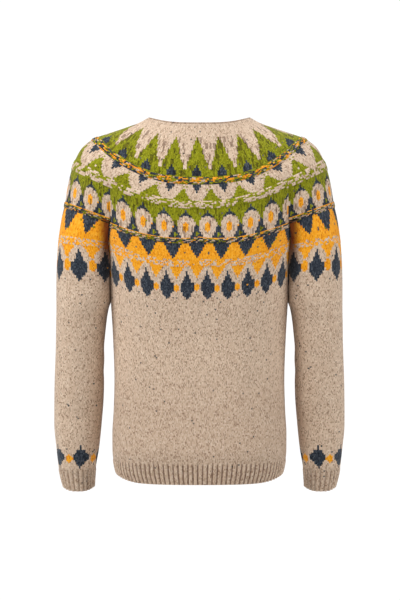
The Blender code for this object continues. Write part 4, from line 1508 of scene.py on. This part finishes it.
@dataclass
class Sleeve:
    """One sleeve, from the yoke's ring and the armhole down to the cuff."""

    mirror: bool
    top_stitches: tuple[int, int] = (112, 126)
    lower_stitches: tuple[int, ...] = (104, 96, 88, 80)
    lower_rows: int = 29
    cuff_stitches: int = 70
    peak_shifts: tuple[int, int] = (2, 1)
    diamond_shifts: tuple[int, int] = (5, 3)
    ring_level: float = -0.150
    girth_height: float = -0.26
    levels: tuple[Pair, ...] = (
        (-0.150, 1.0), (-0.1552, 1.0), (-0.1990, 0.45), (-0.2118, 0.40), (-0.2760, 0.10)
    )
    cuff_motif_top: float = -0.548
    # Painted shade on the side that faces the body: where it starts to fade out and over what
    # width, and the height where it starts and over what height it grows in
    crease_shade_side: Pair = (0.1535, 0.0175)
    crease_shade_height: Pair = (-0.315, 0.11)

    def __post_init__(self) -> None:
        """Measure the sleeve's girth."""
        self.angles = np.linspace(0, 2 * math.pi, 721)
        path = FORM.sleeve_oval(self.angles, np.full_like(self.angles, self.girth_height))
        self.lengths = path_lengths(path)
        self.ring = self.ring_levels()

    def ring_levels(self) -> Array:
        """Level of the yoke's ring by sleeve angle, eased across the armhole."""
        top = FORM.sleeve_top(self.angles)[:, 2]
        turn = (self.angles + math.pi) % (2 * math.pi) - math.pi
        back = FORM.yoke(np.array(FORM.junction_back), LAST_ROW)[2]
        front = FORM.yoke(np.array(FORM.junction_front), LAST_ROW)[2]
        share = soft_step((SLEEVE_JUNCTION_ANGLE - turn) / (2 * SLEEVE_JUNCTION_ANGLE))
        return np.where(np.abs(turn) < SLEEVE_JUNCTION_ANGLE, back + (front - back) * share, top)

    def rules(self, count: int, upper: Pair, lower: Pair, rows: int) -> dict[str, Place]:
        """Places, kept parts and shade of a strip between two levels.

        Args:
            count: Stitches round the sleeve.
            upper: Height of the strip's upper edge, and the share of the ring's slope it keeps.
            lower: The same of its lower edge.
            rows: Rows in the strip.

        Returns:
            The strip's rules by name.
        """

        def places(across: Array, down: Array) -> tuple[Array, Array, Array]:
            """Angle, uncut height and upper edge."""
            angle = np.interp(across / count * self.lengths[-1], self.lengths, self.angles)
            slope = np.interp(angle, self.angles, self.ring) - self.ring_level
            start = upper[0] + upper[1] * slope
            height = start + (lower[0] + lower[1] * slope - start) * down / rows
            return angle, height, FORM.sleeve_top(angle)

        def place(across: Array, down: Array) -> Array:
            """Points of the strip."""
            angle, height, top = places(across, down)
            return FORM.sleeve(angle, np.minimum(height, top[..., 2]), top)

        def keep(across: Array, down: Array) -> Array:
            """Which points aren't cut away at the armhole."""
            _, height, top = places(across, down)
            return height <= top[..., 2] + 1e-7

        def shade(across: Array, down: Array) -> Array:
            """Painted shade in the crease where the cloth faces the body."""
            point = place(across, down)
            (side, width), (low, reach) = self.crease_shade_side, self.crease_shade_height
            near = 1 - soft_step((point[..., 0] - side) / width)
            return near * soft_step((point[..., 2] - low) / reach)

        return {"place": place, "keep": keep, "shade": shade}

    def build(self) -> None:
        """Knit the sleeve."""
        node = "sleeve_right" if self.mirror else "sleeve_left"
        piece = KnitPiece(node, "body_knit", (0.33, 0.46), 0.112, 31 + self.mirror, ("yoke",))
        top = self.top_stitches[self.mirror]
        strips = [
            (FLECKED_BELOW, PURL, top, 0),
            (SLEEVE_PEAKS, KNIT, top, self.peak_shifts[self.mirror]),
            (FROST, PURL, top, 0),
            (SLEEVE_DIAMONDS, KNIT, top, self.diamond_shifts[self.mirror]),
        ]
        levels = list(self.levels)
        start, slope = levels[-1]
        parts = len(self.lower_stitches)
        for number, count in enumerate(self.lower_stitches, start=1):
            height = start + (self.cuff_motif_top - start) * number / parts
            levels.append((height, slope * (1 - number / parts)))
            strips.append((plain(self.lower_rows), KNIT, count, 0))
        levels.append((CUFF_RIB_TOP, 0.0))
        strips.append((CUFF_DIAMONDS, KNIT, self.cuff_stitches, 0))
        for (motif, stitch, count, shift), upper, lower in zip(strips, levels, levels[1:]):
            rules = self.rules(count, upper, lower, motif.rows)
            if motif is FLECKED_BELOW:
                rules["lift"] = lower_ridge(SLEEVE_ROW_HEIGHT)
            piece.knit(first=0, motif=motif, columns=count, mirror=self.mirror, shift=shift,
                       stitch=stitch, **rules)
        piece.finish_piece()


@dataclass
class Ribbing:
    """The ribs of the hem and the cuffs, of two knit stitches and one purl stitch."""

    hem_rows: int = 15
    cuff_rows: int = 17
    hem_lower: float = 0.0015
    hem_corner: Pair = (0.0115, 9)
    cuff_corner: Pair = (0.0055, 3)
    # Strength of the painted shade on the cuffs, against 1 on the hem
    cuff_darkness: float = 0.65

    def wave(self, across: Array, sign: float) -> Array:
        """A wave along the ribs: high on them for a sign of -1, and between them for 1."""
        return 0.5 + sign * 0.5 * np.cos(2 * math.pi * (across - 2.5) / 3)

    def lift(self, across: Array, down: Array) -> Array:
        """How far the ribs stand up."""
        return RIB_RELIEF * (self.wave(across, -1) ** 0.6 - 0.55) * soft_step(down / 3)

    def shade(self, across: Array, down: Array) -> Array:
        """The hollows between the ribs, which get little light."""
        hollow = soft_step((self.wave(across, 1) - 0.55) / 0.42)
        # Painted shade: deep in the hollows between the ribs, and a little over the whole rib
        return 0.56 * hollow * soft_step(down / 2) + 0.09

    def rib(
        self, node: str, seed: int, turns: Pair, levels: Pair, rows: int, section: Place,
        rise: Callable[[Array], Array], cut: Pair | None = None, darkness: float = 1.0,
    ) -> None:
        """Knit a rib and close its lower edge.

        Args:
            node: The solid that it stands for.
            seed: Seed of its tones.
            turns: Angles of its first and last stitch.
            levels: Heights of its upper and lower edges.
            rows: Rows in it.
            section: Points of the form by angle and height.
            rise: How far the lower edge rises, by angle.
            cut: Flat width and length, or None for its own girth and height.
            darkness: How strong its painted shade is, 0 to 1.
        """
        angles = np.linspace(*turns, 400)
        top, edge = levels
        lengths = path_lengths(section(angles, np.full_like(angles, edge)))
        columns = 3 * round(lengths[-1] / RIB_PITCH)

        def place(across: Array, down: Array) -> Array:
            """Points of the rib."""
            angle = np.interp(across / columns * lengths[-1], lengths, angles)
            return section(angle, top + (edge + rise(angle) - top) * down / rows)

        cut = cut or (float(lengths[-1]), top - edge)
        above = node.replace("hem_rib_", "").replace("cuff", "sleeve")
        piece = KnitPiece(node, "rib_knit", cut, cut[0] * cut[1], seed, (above,), RIBBED)
        strip = piece.knit(
            place, 0, plain(rows), columns, node.endswith("_right"), lift=self.lift,
            shade=lambda across, down: darkness * self.shade(across, down),
        )
        across = np.linspace(0, columns, 2 * columns + 1)
        piece.rim(strip, across, float(rows), self.lift(across, np.full_like(across, rows)))
        piece.finish_piece()

    def hem_rise(self, angle: Array) -> Array:
        """The hem hangs a little lower, and is rounded up at the sides."""
        height, power = self.hem_corner
        return height * (np.abs(np.sin(angle)) ** SIDE_POWER) ** power - self.hem_lower

    def cuff_rise(self, angle: Array) -> Array:
        """The cuff's edge is rounded up at its sides."""
        height, power = self.cuff_corner
        return height * np.abs(np.cos(angle)) ** power

    def build(self) -> None:
        """Knit the hem's three parts and both cuffs."""
        side, edge = math.pi / 2, float(FORM.front_edge(HEM_EDGE))
        hem = ((HEM_RIB_TOP, HEM_EDGE), self.hem_rows, FORM.body, self.hem_rise)
        self.rib("hem_rib_back", 41, (-side, side), *hem, (0.400, 0.035))
        self.rib("hem_rib_front_left", 42, (side, edge), *hem, (0.190, 0.035))
        self.rib("hem_rib_front_right", 43, (side, edge), *hem, (0.190, 0.035))
        cuff = ((CUFF_RIB_TOP, CUFF_EDGE), self.cuff_rows, FORM.sleeve_oval, self.cuff_rise)
        for node, seed in (("cuff_left", 44), ("cuff_right", 45)):
            self.rib(node, seed, (0, 2 * math.pi), *cuff, darkness=self.cuff_darkness)


@dataclass
class Neckband:
    """The plain band round the neck, with its cast-off edge."""

    rows: int = 8
    # Painted shade of the cast-off edge and of the row where the yoke is picked up
    edge_shade: float = 0.42
    join_shade: float = 0.12

    def build(self) -> None:
        """Knit the band and its edge."""
        piece = KnitPiece("neckband", "band_knit", (0.55, 0.020), 0.0105, 51, ())
        turn, first, columns = Yoke().even_ring(14, TEETH_SPREAD)

        def place(across: Array, down: Array) -> Array:
            """Points of the band."""
            row = down / self.rows
            return FORM.ring(turn(across, row), row)

        def shade(across: Array, down: Array) -> Array:
            """Painted shade along the cast-off edge and along the row where the yoke is picked up.
            """
            edge = np.where(down < 1, self.edge_shade, 0.0)
            return edge + np.where((down > 2) & (down < 3), self.join_shade, 0.0)

        strip = piece.knit(place, first, plain(self.rows), columns, shade=shade)
        piece.rim(strip, np.linspace(first, -first, columns + 1), 0.0)
        piece.finish_piece()


@dataclass
class FrontBands:
    """The button band and the buttonhole band over it, each a closed strip of rib."""

    yoke_stations: int = 60
    body_stations: int = 150
    ribs: int = 5
    rib_relief: float = 0.0009
    rib_sink: float = 0.0002

    def surface(self, across: Array, share: Array) -> Array:
        """Points of the front; the share runs from 0 to 1 on the yoke and to 2 on the body."""
        top = float(YOKE.read("front_height", np.array(LAST_ROW)))
        row = np.clip(share, 0, 1) * LAST_ROW
        height = top + (HEM_EDGE - top) * np.clip(share - 1, 0, 1)
        on_yoke = FORM.yoke(YOKE.turn(across, row, False), row)
        on_body = FORM.body(BODY.turn(across, height, False), height)
        return np.where((share <= 1)[..., None], on_yoke, on_body)

    def station(self, across: Array, share: Array) -> tuple[Array, Array]:
        """Point and normal of the front opening.

        Args:
            across: Distance from the middle plane.
            share: Place down the opening.

        Returns:
            Points of the form and its outward normals.
        """
        step = 1e-4
        one = self.surface(across + step, share) - self.surface(across - step, share)
        low = np.maximum(share - step, np.where(share > 1, 1 + 1e-9, 0))
        high = np.minimum(share + step, np.where(share > 1, 2, 1))
        normal = np.cross(self.surface(across, high) - self.surface(across, low), one)
        normal /= np.linalg.norm(normal, axis=-1, keepdims=True)
        normal *= np.where(normal[..., 1:2] > 0, -1, 1)
        return self.surface(across, share), normal

    def band(self, node: str, start: float, level: float, seed: int) -> None:
        """Knit one band as a closed strip.

        Args:
            node: The solid that it stands for.
            start: Distance of its first edge from the middle plane.
            level: How far it lies above the form.
            seed: Seed of its tones.
        """
        columns = 8 * self.ribs
        share = np.concatenate([
            np.linspace(0, 1, self.yoke_stations), np.linspace(1, 2, self.body_stations)[1:]
        ])
        across, down = np.meshgrid(np.linspace(start, BAND_HALF_WIDTH, columns + 1), share)
        point, normal = self.station(across, down)
        wave = 0.5 - 0.5 * np.cos(2 * math.pi * self.ribs * np.linspace(0, 1, columns + 1))
        ribbed = self.rib_relief * wave[None, :, None] ** 0.7
        outer = point + (level - self.rib_sink + ribbed) * normal
        inner = point + (level - WALL) * normal
        around = np.concatenate([outer, inner[:, ::-1], outer[:, :1]], axis=1)
        mesh = KnitMesh(node + "_knit", seed)
        width = np.arange(around.shape[1]) / 4.0
        coords = np.stack(np.meshgrid(width, np.arange(len(share)) * 1.2), axis=-1)
        mesh.add_grid(around, np.zeros((len(share) - 1, around.shape[1] - 1)), coords, -1)
        for end, facing in ((0, 1), (-1, -1)):
            cap = np.stack([outer[end], inner[end]])
            mesh.add_grid(cap, np.zeros((1, columns)), coords[:2, : columns + 1], facing)
        piece = mesh.build(RIBBED, weld=True)
        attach(piece, "root")
        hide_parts(node)
        log.info("%s: %d faces", piece.name, len(piece.data.polygons))

    def button_places(self) -> list[tuple[Vector, Vector]]:
        """Find the buttons' places.

        Returns:
            Middle of each button on the outer band, and the way it faces.
        """
        share = np.concatenate([np.linspace(0, 1, 10), np.linspace(1, 2, 15)[1:]])
        point, normal = self.station(np.zeros_like(share), share)
        lengths = path_lengths(point)
        places = []
        for place in np.linspace(BUTTON_END_MARGIN, lengths[-1] - BUTTON_END_MARGIN, BUTTON_COUNT):
            where, way = (
                Vector([float(np.interp(place, lengths, line)) for line in lines.T])
                for lines in (point, normal)
            )
            way.normalize()
            places.append((where + (WALL + 2 * LAP_CLEARANCE) * way, way))
        return places

    def build(self) -> None:
        """Knit both bands."""
        self.band("button_band", -BAND_HALF_WIDTH, 0.0, 61)
        outer = WALL + LAP_CLEARANCE
        self.band("buttonhole_band", -BAND_HALF_WIDTH - BAND_LAP, outer, 62)


@dataclass
class Buttons:
    """Turned horn buttons with four holes, sewn on with crossed thread."""

    places: list[tuple[Vector, Vector]]
    sides: int = 40
    hole_radius: float = 0.0009
    hole_spread: float = 0.0019
    thread_radius: float = 0.00026
    thread_height: float = 0.00205
    turn_between: float = 13.0
    profile: tuple[Pair, ...] = (
        (0.0, 0.0), (0.70, 0.0), (0.88, 0.10), (0.97, 0.30), (1.0, 0.55), (0.985, 0.82),
        (0.95, 0.96), (0.90, 1.0), (0.84, 0.97), (0.79, 0.84), (0.74, 0.68), (0.66, 0.61),
        (0.5, 0.58), (0.0, 0.56),
    )

    def turned(self) -> bpy.types.Mesh:
        """One button as a turned form, facing +Z, with its holes cut."""
        shape = bmesh.new()
        turns = [2 * math.pi * i / self.sides for i in range(self.sides)]
        rings = []
        for share, lift in self.profile:
            radius, height = share * BUTTON_RADIUS, lift * BUTTON_THICKNESS
            rings.append([
                shape.verts.new((radius * math.cos(turn), radius * math.sin(turn), height))
                for turn in (turns if share > 0 else turns[:1])
            ])
        for inner, outer in zip(rings, rings[1:]):
            for i in range(self.sides):
                after = (i + 1) % self.sides
                corners = [
                    inner[i % len(inner)], outer[i % len(outer)],
                    outer[after % len(outer)], inner[after % len(inner)],
                ]
                shape.faces.new(list(dict.fromkeys(corners)))
        bmesh.ops.recalc_face_normals(shape, faces=shape.faces)
        return self.drilled(mesh_of(shape, "button_form"))

    def rod(
        self, shape: bmesh.types.BMesh, place: Matrix, segments: int, radius: float, length: float
    ) -> None:
        """Add a round rod along the place's own Z axis."""
        bmesh.ops.create_cone(
            shape, cap_ends=True, segments=segments, radius1=radius, radius2=radius,
            depth=length, matrix=place,
        )

    def drilled(self, mesh: bpy.types.Mesh) -> bpy.types.Mesh:
        """Cut the four holes.

        Args:
            mesh: The turned form.

        Returns:
            The form with holes right through it.
        """
        drill = bmesh.new()
        for i in range(4):
            turn = math.pi / 4 + math.pi / 2 * i
            x, y = self.hole_spread * math.cos(turn), self.hole_spread * math.sin(turn)
            place = Matrix.Translation((x, y, BUTTON_THICKNESS / 2))
            self.rod(drill, place, 14, self.hole_radius, 0.008)
        body = link("button_form", mesh)
        tool = link("button_drill", mesh_of(drill, "button_drill"))
        cut = body.modifiers.new("holes", "BOOLEAN")
        cut.object = tool
        cut.operation = "DIFFERENCE"
        cut.solver = "EXACT"
        bpy.context.view_layer.update()
        graph = bpy.context.evaluated_depsgraph_get()
        made = bpy.data.meshes.new_from_object(body.evaluated_get(graph))
        for done in (body, tool):
            bpy.data.objects.remove(done, do_unlink=True)
        return made

    def thread(self) -> bpy.types.Mesh:
        """Two crossed strands of thread over the holes."""
        shape = bmesh.new()
        length = 2 * self.hole_spread + 0.0006
        for turn in (math.pi / 4, 3 * math.pi / 4):
            for side in (-0.00028, 0.00028):
                lay = Matrix.Translation((0, side, self.thread_height))
                lay = Matrix.Rotation(turn, 4, "Z") @ lay @ Matrix.Rotation(math.pi / 2, 4, "Y")
                self.rod(shape, lay, 8, self.thread_radius, length)
        return mesh_of(shape, "button_thread_form")

    def build(self) -> None:
        """Place every button and its thread."""
        form, strands = self.turned(), self.thread()
        for number, (spot, way) in enumerate(self.places, start=1):
            stand = Matrix.Translation(spot) @ way.to_track_quat("Z", "Y").to_matrix().to_4x4()
            stand = stand @ Matrix.Rotation(math.radians(self.turn_between * number), 4, "Z")
            horn = self.placed(form, f"button_{number}_horn", stand, HORN)
            horn.data.set_sharp_from_angle(angle=math.radians(40))
            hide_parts(f"button_{number}")
            thread = self.placed(strands, f"button_{number}_thread", stand, THREAD)
        log.info("buttons: %d", len(self.places))

    def placed(
        self, mesh: bpy.types.Mesh, name: str, stand: Matrix, finish: Finish
    ) -> bpy.types.Object:
        """Place a copy of a form.

        Args:
            mesh: The form.
            name: The copy's name.
            stand: Where it stands.
            finish: Its finish.

        Returns:
            The new object.
        """
        copy = mesh.copy()
        copy.name = name
        copy.transform(stand)
        copy.shade_smooth()
        copy.materials.clear()
        copy.materials.append(finish.material())
        piece = link(name, copy)
        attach(piece, "root")
        return piece


@dataclass
class Studio:
    """Plain pale floor, soft light and the camera behind the garment."""

    camera_place: tuple[float, float, float] = (-0.001, 3.0, -0.306)
    frame_height: float = 1.008
    sensor: float = 36.0
    floor_height: float = -1.25
    floor_half: float = 2.4
    target: tuple[float, float, float] = (0.0, 0.0, -0.3)
    world_strength: float = 0.30
    backdrop_strength: float = 0.75

    def floor(self) -> None:
        """Lay the floor."""
        half = self.floor_half
        shape = bmesh.new()
        corners = ((-half, -half), (half, -half), (half, half), (-half, half))
        shape.faces.new([shape.verts.new((x, y, self.floor_height)) for x, y in corners])
        mesh = mesh_of(shape, "floor")
        mesh.materials.append(FloorFinish("pale_floor").material())
        ground = link("floor", mesh)

    def light(self, name: str, spot: tuple[float, float, float], size: float, power: float) -> None:
        """Add a soft square light that faces the garment.

        Args:
            name: The light's name.
            spot: Where it stands.
            size: Length of its side.
            power: Power in watts.
        """
        lamp = bpy.data.lights.new(name, "AREA")
        lamp.size = size
        lamp.energy = power
        stand = link(name, lamp)
        stand.location = spot
        stand.rotation_mode = "QUATERNION"
        way = Vector(self.target) - Vector(spot)
        stand.rotation_quaternion = way.to_track_quat("-Z", "Y")

    def sky(self) -> None:
        """Light from all round, on plain white."""
        world = bpy.data.worlds.new("studio_world")
        world.use_nodes = True
        nodes = ShaderTree(world.node_tree)
        seen = nodes.node("ShaderNodeLightPath").outputs["Is Camera Ray"]
        strength = nodes.math("MULTIPLY_ADD", seen, self.backdrop_strength, self.world_strength)
        background = world.node_tree.nodes["Background"]
        nodes.feed(background, {"Color": (1.0, 1.0, 1.0, 1.0), "Strength": strength})
        bpy.context.scene.world = world

    def camera(self) -> None:
        """Set the camera at the photograph's angle."""
        lens = bpy.data.cameras.new("camera")
        lens.sensor_width = self.sensor
        lens.lens = self.sensor * self.camera_place[1] / self.frame_height
        eye = link("camera", lens)
        eye.location = self.camera_place
        eye.rotation_euler = (math.pi / 2, 0.0, math.pi)
        bpy.context.scene.camera = eye

    def build(self) -> None:
        """Set up the whole studio."""
        self.camera()
        self.floor()
        self.sky()
        self.light("key", (1.7, 1.1, 1.7), 1.3, 71.0)
        self.light("fill", (-2.0, 1.0, 1.5), 1.5, 44.0)
        self.light("front", (0.8, -2.6, 0.8), 1.8, 26.0)
        bpy.context.scene.view_settings.view_transform = "Standard"


def main() -> None:
    """Build the studio and then the garment from the neck down."""
    logging.basicConfig(level=logging.INFO, format="%(name)s %(message)s")
    Studio().build()
    Neckband().build()
    Yoke().build()
    BodyPanels().build()
    for mirror in (False, True):
        Sleeve(mirror).build()
    Ribbing().build()
    bands = FrontBands()
    bands.build()
    Buttons(bands.button_places()).build()


if __name__ == "__main__":
    main()
